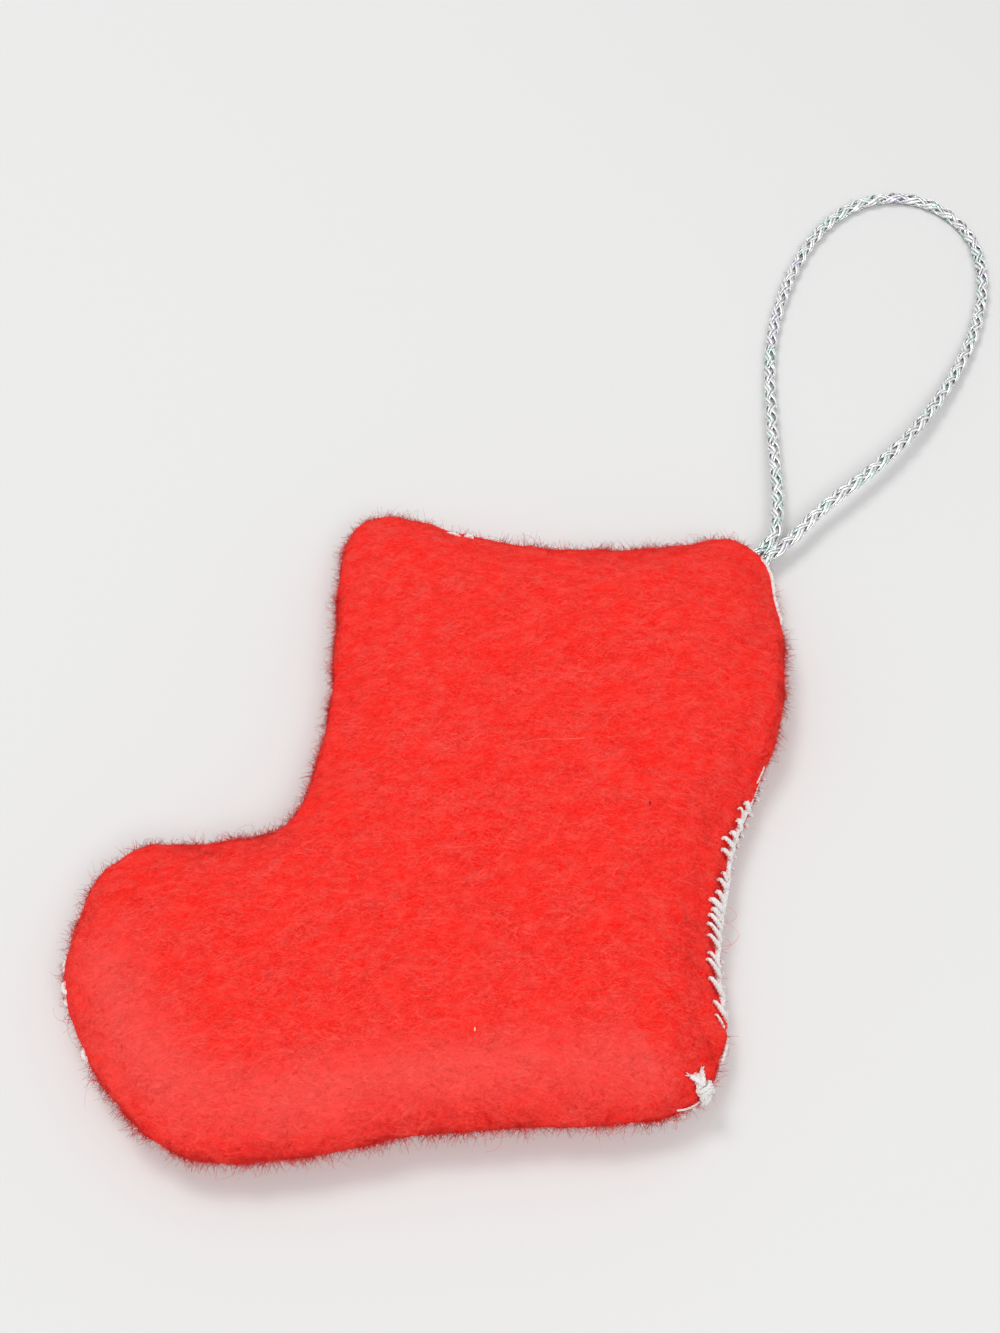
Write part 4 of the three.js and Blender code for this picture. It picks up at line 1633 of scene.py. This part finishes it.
@dataclass
class SewingThread:
    """Plied white thread."""

    shape: BootShape
    stitching: Stitching
    finish: Material
    plies: int = 3
    ply_share: float = 0.52
    lay: float = 0.0017
    line_step: float = 0.00017
    hair_reach: float = 0.00085
    hair_radius: float = 0.000026

    def ply(self, draft: MeshDraft, line: Array, radius: Values, sides: int = 6) -> None:
        """Adds a length of thread as twisted plies.

        Args:
            draft: The draft.
            line: The thread's centre line.
            radius: Its radius, for all of it or at each point.
            sides: The sides of each ply.
        """
        _, normal, side = carried_frame(line)
        turn = 2 * math.pi * lengths_along(line) / self.lay
        ply_radius = np.broadcast_to(radius, len(line)) * self.ply_share
        off = (radius - ply_radius)[:, None]
        lines = [
            line + off * (np.cos(turn + phase)[:, None] * normal + np.sin(turn + phase)[:, None] * side)
            for phase in np.arange(self.plies) * (2 * math.pi / self.plies)
        ]
        draft.add_tubes(np.array(lines), ply_radius, sides=sides)

    def hairs(self, draft: MeshDraft, lines: Sequence[Array], count: int) -> None:
        """Adds short loose hairs along threads.

        Args:
            draft: The draft.
            lines: The threads' centre lines.
            count: How many hairs.
        """
        rng = np.random.default_rng(43)
        along = np.vstack([np.column_stack([line, np.gradient(line, axis=0)]) for line in lines])
        picked = along[rng.integers(0, len(along), count)]
        roots, tangent = picked[:, :3], unit(picked[:, 3:])
        away = unit(rng.normal(0.0, 1.0, (count, 3)) + 0.5 * UP + tangent * rng.normal(0, 0.8, (count, 1)))
        length = rng.uniform(0.5, 1.0, (count, 1)) * self.hair_reach
        part = np.linspace(0.0, 1.0, 4)[None, :, None]
        bend = np.cross(away, tangent) * rng.normal(0, 0.35, (count, 1)) * length
        hairs = roots[:, None] + (away * length)[:, None] * part + bend[:, None] * part**2
        hairs[:, :, 2] = np.maximum(hairs[:, :, 2], self.hair_radius)
        draft.add_tubes(hairs, self.hair_radius * np.linspace(1.0, 0.4, 4)[None], sides=3)

    def edge_line(self, start: float, end: float, bare: Rows = ()) -> Array:
        """The line of thread along the rim.

        Args:
            start: Its first place, in outline points.
            end: Its last place.
            bare: Stretches where it sinks in out of sight: middle, half length and depth.

        Returns:
            The centre line.
        """
        rows = np.linspace(start, end, max(int((end - start) * 24), 8))
        sink = sum(
            (depth * np.exp(-(((rows - middle) / reach) ** 4)) for middle, reach, depth in bare),
            np.zeros(len(rows)),
        )
        sink = sink + self.stitching.pull(rows) + self.stitching.sink(rows)
        lift = self.stitching.heel_lift(rows)
        return respaced(self.shape.thread_line(self.shape.stations(rows), sink, lift), self.line_step)


@dataclass
class SeamRun(SewingThread):
    """One length of the seam's thread, with its stitches."""

    name: str = ""
    node: str = ""
    start: float = 0.0
    end: float = 1.0
    shows: bool = False
    bare: Rows = ()
    face: OuterFace | None = None
    peeks: Rows = ()
    # Places along the heel, and the thickness there of the thread that shows, as a share.
    shown: Rows = ((21.9, 0.75), (22.9, 0.85), (23.3, 1.22), (26.5, 1.18), (27.0, 0.8))
    peek_step: float = 0.0009
    peek_off: float = 0.55  # in radii, off the felt
    peek_dive: float = 1.6
    hair_count: int = 170

    def peek(
        self, draft: MeshDraft, row: float, length: float, low: float, high: float, radius: float
    ) -> None:
        """Adds a bit of thread that lies on the rim and dives into the felt at both ends.

        Args:
            draft: The draft.
            row: Its place, in outline points.
            length: How far it runs along the rim.
            low: The angle round the rim where it starts.
            high: The angle where it ends.
            radius: Its radius.
        """
        shape = self.shape
        anchors = []
        for part in np.linspace(0.0, 1.0, max(int(abs(length) / self.peek_step), 3) + 1):
            at = shape.past(row, length * part)
            start, end = (shape.roll(at, mix(low, high, part), off)[0] for off in (0.003, 0.0))
            way = unit(end - start)
            off = -self.peek_off if 0.0 < part < 1.0 else self.peek_dive
            anchors.append(self.face.below(start, way) + way * off * radius)
        self.ply(draft, smooth_line(anchors, self.stitching.step), radius)

    def build(self) -> None:
        """Builds the run."""
        draft = MeshDraft()
        radius = self.shape.thread_radius
        edge = self.edge_line(self.start, self.end, self.bare)
        rows = np.linspace(self.start, self.end, len(edge))
        self.ply(draft, edge, radius * (between(self.shown, rows) if self.shows else 1.0))
        for leg in self.stitching.under_legs(self.start, self.end):
            self.ply(draft, leg, radius * 0.92, sides=5)
        if self.shows:
            legs = self.stitching.legs()
            for leg, (_, _, share) in zip(legs, self.stitching.heel_stitches):
                part = np.linspace(0.0, 1.0, len(leg))
                self.ply(draft, leg, radius * share * between(self.stitching.taper, part))
            self.hairs(draft, [*(leg[6:] for leg in legs), edge[len(edge) // 4:]], self.hair_count)
        for peek in self.peeks:
            self.peek(draft, *peek)
        piece = draft.piece(self.name, [self.finish])
        settled(piece, Body.BOOT, [self.node])


@dataclass
class FinishingKnot(SewingThread):
    """The knot that ends the thread at the bottom of the heel, with its two cut ends."""

    row: float = 21.75
    inset: float = 0.0019
    foot_shift: float = -0.0011
    strands: int = 5
    spread: float = 0.00042
    lift: float = 0.00035
    wrap_turns: float = 2.2
    wrap_width: float = 0.00066
    wrap_thickness: float = 0.00050
    wrap_length: float = 0.0011
    # Each cut end: how far along the rim it reaches, and how far in from it.
    ends: Rows = ((-0.0009, 0.0023), (0.0011, 0.0016))
    tail_shift: float = -0.0052
    tail_angle: float = 35.0
    tail_share: float = 0.42
    coil_place: float = 0.42
    fray_count: int = 12
    hair_count: int = 60

    def strand(self, way: float) -> Array:
        """One strand of the bundle, from its hole over the rim.

        Args:
            way: Its place across the bundle, from -1 to 1.

        Returns:
            Its centre line.
        """
        shape = self.shape
        arch = self.lift * (1.3 - way * way)
        anchors = []
        for part, reach in ((0.0, 0.6), (0.35, 1.7), (0.7, 1.8), (1.0, 1.0)):
            shift = self.foot_shift * part + way * reach * self.spread
            at = shape.past(self.row, shift)
            if part == 0.0:
                anchors.append(shape.crown(at, shape.share_at_inset(at, self.inset + 0.0004), 0.0008))
                anchors.append(shape.crown(at, shape.share_at_inset(at, self.inset), -arch * 0.4))
            elif part < 1.0:
                angle = shape.shoulder_angle if part < 0.5 else 0.0
                anchors.append(shape.roll(at, angle, shape.thread_off + arch))
            else:
                anchors.append(shape.thread_line(at, -0.0002) - shape.thread_radius * 1.6 * UP)
        return smooth_line(np.vstack(anchors), self.stitching.step)

    def end(self, draft: MeshDraft, start: Array, distance: float, inset: float) -> None:
        """Adds a cut end that lies on the felt, frayed at its tip.

        Args:
            draft: The draft.
            start: Where it leaves the knot.
            distance: How far along the rim its tip lies.
            inset: How far in from the rim its tip lies.
        """
        shape = self.shape
        rng = np.random.default_rng(51 + int(abs(distance) * 1e5))
        at = shape.past(self.row, distance)
        tip = shape.crown(at, shape.share_at_inset(at, inset), -shape.thread_off)[0]
        lifted = mix(start, tip, 0.55) + UP * 0.00035
        line = smooth_line([start, lifted, tip], self.line_step)
        self.ply(draft, line, shape.thread_radius * 1.05)
        way = unit(tip - lifted)
        for _ in range(self.fray_count):
            spread = way + rng.normal(0, 0.45, 3) + 0.15 * UP
            hair = smooth_line([line[-3], tip + spread * 0.00015, tip + spread * 0.0004], 0.00010)
            draft.add_tubes(hair[None], 0.00005, sides=4)

    def build(self) -> None:
        """Builds the knot."""
        shape = self.shape
        radius = shape.thread_radius
        draft = MeshDraft()
        bundle = [self.strand(way) for way in np.linspace(-1.0, 1.0, self.strands)]
        for line in bundle:
            self.ply(draft, line, radius)
        spine = bundle[self.strands // 2]
        number = int(len(spine) * self.coil_place)
        middle, along = spine[number], unit(spine[number + 1] - spine[number - 1])
        at = shape.station(self.row)
        outward = unit(middle - shape.roll(at, 0.0, -shape.roll_radius)[0])
        up = unit(outward - along * (outward @ along))
        side = np.cross(up, along)
        turn = np.linspace(0.0, 2 * math.pi * self.wrap_turns, 90)
        coil = middle + along * (np.linspace(-0.5, 0.5, 90) * self.wrap_length)[:, None]
        coil = coil + side * (np.cos(turn) * (self.wrap_width + radius))[:, None]
        coil = coil + up * (np.sin(turn) * (self.wrap_thickness + radius))[:, None]
        self.ply(draft, respaced(coil, self.line_step), radius * 0.9)
        for distance, inset in self.ends:
            self.end(draft, middle - along * 0.0005, distance, inset)
        places = []
        for part in (0.0, 0.35, 0.7, 1.0):
            at = shape.past(self.row, mix(self.foot_shift, self.tail_shift, part))
            off = radius * (0.8 - 1.3 * part**3)
            places.append(shape.roll(at, mix(0.0, self.tail_angle, part), off)[0])
        self.ply(draft, smooth_line(places, self.line_step), radius * self.tail_share)
        self.hairs(draft, [line[8:] for line in bundle], self.hair_count)
        piece = draft.piece("knot_thread", [self.finish])
        settled(piece, Body.BOOT, ["finishing_knot"])


@dataclass
class Fuzz:
    """Loose fibres that stand off a piece of felt."""

    name: str
    finish: Material
    felt: Piece
    wanted: PointRule  # how many are wanted, by the middles and normals of the felt's triangles
    count: int = 10400
    shortest: float = 0.0010
    longest: float = 0.0036
    radius: float = 0.000022
    lift: float = 0.0005
    grain: float | None = None
    grain_spread: float = 38.0
    curl: float = 0.25
    stand: float = 0.0
    steps: int = 3
    seed: int = 61

    def bases(self) -> tuple[Array, Array]:
        """Chooses where the fibres stand.

        Returns:
            Their roots and the felt's normals there.
        """
        mesh = self.felt.data
        mesh.calc_loop_triangles()
        corners = np.empty(len(mesh.loop_triangles) * 3, np.int32)
        mesh.loop_triangles.foreach_get("vertices", corners)
        points = mesh_values(mesh.vertices, "co").astype(float)
        a, b, c = points[corners.reshape(-1, 3)].transpose(1, 0, 2)
        cross = np.cross(b - a, c - a)
        weight = np.linalg.norm(cross, axis=1) * self.wanted((a + b + c) / 3, unit(cross))
        rng = np.random.default_rng(self.seed)
        picked = rng.choice(len(a), self.count, p=weight / weight.sum())
        u, v = rng.random((2, self.count, 1))
        over = (u + v) > 1
        u, v = np.where(over, 1 - u, u), np.where(over, 1 - v, v)
        roots = a[picked] + (b - a)[picked] * u + (c - a)[picked] * v
        return roots, unit(cross)[picked]

    def build(self) -> Piece:
        """Builds the fibres.

        Returns:
            Their object.
        """
        roots, normals = self.bases()
        rng = np.random.default_rng(self.seed + 1)
        if self.grain is None:
            heading = rng.uniform(0, 2 * math.pi, self.count)
        else:
            heading = np.radians(rng.normal(self.grain, self.grain_spread, self.count))
            heading = heading + math.pi * rng.integers(0, 2, self.count)
        way = np.column_stack([np.cos(heading), np.sin(heading), rng.normal(0, 0.3, self.count)])
        way = unit(way - normals * np.sum(way * normals, axis=1, keepdims=True))
        beside = np.cross(normals, way)
        length = mix(self.shortest, self.longest, rng.random(self.count) ** 2)
        lift = self.lift * (0.15 + 2.0 * rng.random(self.count) ** 2)
        bend = rng.normal(0, self.curl, self.count) * length
        part = np.linspace(0, 1, self.steps)[None, :, None]
        standing = (rng.random(self.count) < self.stand)[:, None, None]
        height = lift[:, None, None] * np.where(standing, part * 1.2, np.sin(part * 2.4))
        height = height - self.radius * 2 * (1 - part) ** 4
        lines = roots[:, None] + way[:, None] * length[:, None, None] * part
        lines = lines + beside[:, None] * bend[:, None, None] * part**2
        lines = lines + normals[:, None] * height
        lines[:, :, 2] = np.maximum(lines[:, :, 2], self.radius)
        taper = self.radius * np.linspace(1.0, 0.35, self.steps)[None]
        draft = MeshDraft()
        draft.add_tubes(lines, taper * rng.uniform(0.7, 1.3, (self.count, 1)), sides=3)
        piece = draft.piece(self.name, [self.finish])
        facing = np.repeat(normals, self.steps * 3, axis=0).astype(np.float32)
        piece.data.normals_split_custom_set_from_vertices(facing)
        return settled(piece, Body.BOOT)


@dataclass
class FeltMarks:
    """The few stray bits on the felt: two flecks, a long pale fibre and loops off the heel's edge."""

    shape: BootShape
    red: Material
    dark_fleck: tuple[float, float] = (0.0295, -0.0029)
    pale_fleck: tuple[float, float] = (0.0049, -0.0375)
    fleck_length: float = 0.00060
    fleck_radius: float = 0.00013
    pale_fibre: Rows = ((0.0112, 0.0067), (0.0140, 0.0074), (0.0172, 0.0074), (0.0205, 0.0076))
    fibre_radius: float = 0.000026
    # Each loop off the heel's edge: where it starts, how far along it ends and how far out it stands.
    loops: Rows = (
        (25.05, -0.0030, 0.0019), (24.80, -0.0042, 0.0024), (24.55, -0.0022, 0.0013),
    )

    def on_felt(self, face: OuterFace, places: Rows, off: float) -> Array:
        """Points on the felt at places in plan, lifted off it by a distance."""
        return np.array([face.below(np.array([x, y, 0.03]), -UP) + UP * off for x, y in places])

    def build(self, face: OuterFace) -> Piece:
        """Builds the marks.

        Args:
            face: The felt's outer face.

        Returns:
            Their object.
        """
        draft = MeshDraft()
        half = np.array([0.0, self.fleck_length / 2, 0.0])
        for finish, place in ((1, self.dark_fleck), (2, self.pale_fleck)):
            middle = self.on_felt(face, [place], self.fleck_radius * 0.4)[0]
            line = np.linspace(middle - half, middle + half, 7)
            swell = self.fleck_radius * np.sqrt(np.clip(1 - np.linspace(-0.97, 0.97, 7) ** 2, 0.05, 1))
            draft.add_tubes(line[None], swell[None], sides=8, finish=finish)
        fibre = smooth_line(self.on_felt(face, self.pale_fibre, self.fibre_radius), 0.0003)
        draft.add_tubes(fibre[None], self.fibre_radius, sides=5, finish=3)
        for row, distance, out in self.loops:
            anchors = []
            for part, reach in ((0.0, -0.1), (0.15, 0.55), (0.5, 1.0), (0.85, 0.7), (1.0, -0.1)):
                at = self.shape.past(row, distance * part)
                anchors.append(self.shape.roll(at, 10.0 * part, out * reach)[0])
            draft.add_tubes(smooth_line(anchors, 0.0003)[None], self.fibre_radius * 0.8, sides=4)
        dark = FuzzFinish("dark_fleck", (0.10, 0.012, 0.040), (0.22, 0.03, 0.09)).material()
        pale = FuzzFinish("pale_fleck", (0.86, 0.50, 0.30), (0.92, 0.66, 0.50)).material()
        faint = FuzzFinish("faint_fibre", (0.97, 0.20, 0.15), (0.98, 0.38, 0.30)).material()
        piece = draft.piece("felt_marks", [self.red, dark, pale, faint])
        return settled(piece, Body.BOOT)


@dataclass
class Ornament:
    """The whole ornament."""

    shape: BootShape = BootShape()
    tufts: Noise = Noise(17)
    tail_clearance: float = 0.0003
    run_gap: float = 0.00025  # from each end of a length of thread
    # Stretches of the rim with little loose fibre: start, end, reach in from the rim, and share.
    sparse: Rows = (
        (23.1, 26.8, 0.0035, 0.18), (11.6, 12.8, 0.0024, 0.30), (13.2, 13.5, 0.0020, 0.40),
        (30.0, 31.9, 0.0024, 0.25), (36.5, 37.3, 0.0024, 0.30),
    )

    def build_loop(self, cord: Cord) -> None:
        """Builds the braided cord."""
        foil, core = FoilFinish().material(), CoreFinish().material()
        HangingLoop(cord, foil, core).build()
        HiddenTails(cord, foil, core).build()

    def build_felt(self, cord: Cord) -> OuterFace:
        """Builds the two panels, the filling and the fibres that stand off the felt.

        Args:
            cord: The cord, whose tails run between the panels.

        Returns:
            The back panel's outer face.
        """
        shape = self.shape
        stitching = Stitching(shape)
        tails = cord.tail_lines()
        felt = FeltFinish().material()
        stuffing = FuzzFinish("white_filling", (0.70, 0.69, 0.66), (0.88, 0.87, 0.85)).material()
        filling = Filling(shape, stitching, tails, stuffing).build()
        settled(filling, Body.BOOT, ["filling"])
        front = FrontPanel(shape, stitching, tails, felt).build()
        settled(front, Body.BOOT, ["front_panel"])
        back = BackPanel(shape, stitching, tails, felt).build()
        settled(back, Body.BOOT, ["back_panel"])
        red = FuzzFinish("red_fibre", (0.90, 0.014, 0.012), (1.0, 0.060, 0.050)).material()
        pale = FuzzFinish("pale_red_fibre", (0.98, 0.030, 0.022), (1.0, 0.16, 0.13)).material()
        nap = Fuzz(
            "felt_nap", pale, back, lambda middles, normals: np.clip(normals[:, 2] - 0.3, 0, 1),
            lift=0.00006, grain=0.0,
        )
        halo = Fuzz(
            "felt_halo", red, back, self.rim_wanted, shortest=0.0006, longest=0.0020, radius=0.000034,
            lift=0.00055, stand=0.65, seed=71,
        )
        haze = Fuzz(
            "felt_haze", red, back, self.rim_wanted, shortest=0.0005, longest=0.0016, radius=0.000030,
            lift=0.00085, stand=0.8, seed=74,
        )
        down = Fuzz(
            "rim_down", red, back, self.rim_wanted, count=18000, shortest=0.0002, longest=0.0007,
            radius=0.000040, lift=0.00030, stand=1.0, steps=2, seed=77,
        )
        long = Fuzz(
            "long_fibres", red, back, self.rim_wanted, count=420, shortest=0.0020, longest=0.0052,
            lift=0.0008, curl=0.5, steps=9, seed=81,
        )
        loose = [fuzz.build() for fuzz in (nap, halo, haze, down, long)]
        face = OuterFace(back)
        loose.append(FeltMarks(shape, red).build(face))
        edge = Fuzz(
            "front_edge_fuzz", red, front,
            lambda middles, normals: (middles[:, 2] > 0.0009) * (np.abs(normals[:, 2]) < 0.8),
            count=3600, shortest=0.0004, longest=0.0013, radius=0.000020, lift=0.00018, seed=91,
        ).build()
        size, area = (shape.width, shape.height), self.outline_area()
        return face

    def rim_wanted(self, middles: Array, normals: Array) -> Array:
        """How much loose fibre is wanted: most on the rim, and little between the stitches.

        Args:
            middles: The middles of the felt's triangles.
            normals: Their normals.

        Returns:
            One share for each triangle.
        """
        above = middles[:, 2] > self.shape.seam_level + 0.0002
        tufts = np.clip(1 + 1.1 * self.tufts.at(middles, 0.0028), 0.3, 2.0)
        for start, end, reach, share in self.sparse:
            rim = self.shape.rim(np.linspace(start, end, int((end - start) * 20) + 2))
            apart, _ = distance_to(flat(middles), flat(rim))
            tufts[apart < reach] *= share
        return above * np.clip(1.28 - 1.35 * normals[:, 2], 0, 1) * (normals[:, 2] > -0.75) * tufts

    def outline_area(self) -> float:
        """Area inside the boot's outline."""
        rim = self.shape.around(Panel.ring_points).rim
        after = np.roll(rim, -1, axis=0)
        return float(abs(np.sum(rim[:, 0] * after[:, 1] - rim[:, 1] * after[:, 0])) / 2)

    def build_thread(self, cord: Cord, face: OuterFace) -> None:
        """Builds the seam's thread and its finishing knot.

        Args:
            cord: The cord, which leaves the seam between two lengths of thread.
            face: The back panel's outer face.
        """
        shape = self.shape
        stitching = Stitching(shape)
        white = ThreadFinish().material()
        room = (cord.diameter + cord.gap) / 2 + cord.radius + shape.thread_radius + self.tail_clearance
        before_tails = shape.row_past(cord.exit_row, -room)
        after_tails = shape.row_past(cord.exit_row, room)
        runs = {
            "leg_front": (0.0, 7.0), "toe": (7.0, 16.0), "sole": (16.0, 21.9), "heel": (21.9, 26.9),
            "leg_back": (26.9, before_tails), "top": (after_tails, float(shape.point_count)),
        }
        peeks = {
            "toe": (
                (11.56, 0.0030, 24, 22, 0.00020), (12.03, 0.0023, 32, 30, 0.00036),
                (12.36, 0.0011, 18, 17, 0.00026), (13.24, 0.0022, 8, 6, 0.00036),
                (14.55, 0.0010, 0, -2, 0.00026),
            ),
            "leg_back": ((31.74, -0.0136, 38, 20, 0.00030), (27.42, -0.0036, 30, 27, 0.00015)),
            "top": ((36.69, 0.0016, 68, 67, 0.00036), (36.88, 0.0027, 67, 66, 0.00026)),
        }
        bare = {"heel": ((23.13, 0.27, 0.0013),)}
        for name, (start, end) in runs.items():
            SeamRun(
                shape, stitching, white, name=f"thread_{name}", node=f"seam_thread_{name}",
                start=shape.row_past(start, self.run_gap), end=shape.row_past(end, -self.run_gap),
                shows=name == "heel", bare=bare.get(name, ()), face=face, peeks=peeks.get(name, ()),
            ).build()
        FinishingKnot(shape, stitching, white).build()


@dataclass(frozen=True)
class Studio:
    """The camera, the pale floor and the soft light."""

    aim: tuple[float, float, float] = (0.0082, 0.0283, 0.0)
    distance: float = 0.2916
    elevation: float = 55.0
    lens: float = 50.4
    sensor: float = 36.0
    floor_size: float = 3.0
    world_level: float = 0.57
    backdrop_level: float = 0.92

    def build_camera(self) -> None:
        """Makes the camera at the photograph's viewing angle."""
        data = bpy.data.cameras.new("camera")
        data.sensor_fit = "AUTO"
        data.sensor_width = self.sensor
        data.lens = self.lens
        data.clip_start = self.distance / 100
        data.clip_end = self.floor_size * 4
        camera = bpy.data.objects.new("camera", data)
        turn = math.radians(self.elevation)
        back = Vector((0.0, -math.cos(turn), math.sin(turn)))
        camera.location = Vector(self.aim) + back * self.distance
        camera.rotation_mode = "QUATERNION"
        camera.rotation_quaternion = (-back).to_track_quat("-Z", "Y")
        bpy.context.scene.collection.objects.link(camera)
        bpy.context.scene.camera = camera

    def build_floor(self) -> None:
        """Makes the floor."""
        mesh = bpy.data.meshes.new("floor")
        draft = bmesh.new()
        bmesh.ops.create_grid(draft, x_segments=1, y_segments=1, size=self.floor_size / 2)
        draft.to_mesh(mesh)
        draft.free()
        mesh.materials.append(FloorFinish().material())
        floor = bpy.data.objects.new("floor", mesh)
        bpy.context.scene.collection.objects.link(floor)

    def lamp(self, name: str, place: tuple[float, float, float], size: float, power: float) -> None:
        """Adds a soft square lamp that points at the object.

        Args:
            name: Its name.
            place: Where it stands.
            size: The length of its sides.
            power: Its power in watts.
        """
        data = bpy.data.lights.new(name, "AREA")
        data.shape = "SQUARE"
        data.size = size
        data.energy = power
        lamp = bpy.data.objects.new(name, data)
        lamp.location = place
        lamp.rotation_mode = "QUATERNION"
        lamp.rotation_quaternion = (Vector(self.aim) - Vector(place)).to_track_quat("-Z", "Y")
        bpy.context.scene.collection.objects.link(lamp)

    def build_world(self) -> None:
        """Makes a plain pale surrounding, brighter where it is seen or mirrored than where it lights."""
        world = bpy.data.worlds.new("surrounding")
        bpy.context.scene.world = world
        world.use_nodes = True
        nodes, links = world.node_tree.nodes, world.node_tree.links
        ground = nodes["Background"]
        ground.inputs["Color"].default_value = (1.0, 1.0, 1.0, 1.0)
        paths = nodes.new("ShaderNodeLightPath")
        seen = paths.outputs["Is Glossy Ray"]
        for ray in ("Is Transmission Ray", "Is Camera Ray"):
            either = nodes.new("ShaderNodeMath")
            either.operation = "MAXIMUM"
            links.new(seen, either.inputs[0])
            links.new(paths.outputs[ray], either.inputs[1])
            seen = either.outputs[0]
        level = nodes.new("ShaderNodeMapRange")
        level.inputs["To Min"].default_value = self.world_level
        level.inputs["To Max"].default_value = self.backdrop_level
        links.new(seen, level.inputs["Value"])
        links.new(level.outputs[0], ground.inputs["Strength"])

    def build(self) -> None:
        """Makes the floor and the light."""
        self.build_floor()
        self.build_world()
        self.lamp("key", (-0.27, 0.31, 0.76), 0.32, 2.30)
        self.lamp("front", (0.22, -0.50, 0.67), 0.40, 2.25)
        bpy.context.scene.view_settings.view_transform = "Standard"


def main() -> None:
    """Builds the camera, the cord, the boot and the studio, in that order."""
    logging.basicConfig(level=logging.INFO, format="%(message)s")
    studio = Studio()
    studio.build_camera()
    ornament = Ornament()
    cord = Cord(ornament.shape)
    ornament.build_loop(cord)
    face = ornament.build_felt(cord)
    ornament.build_thread(cord, face)
    studio.build()


if __name__ == "__main__":
    main()
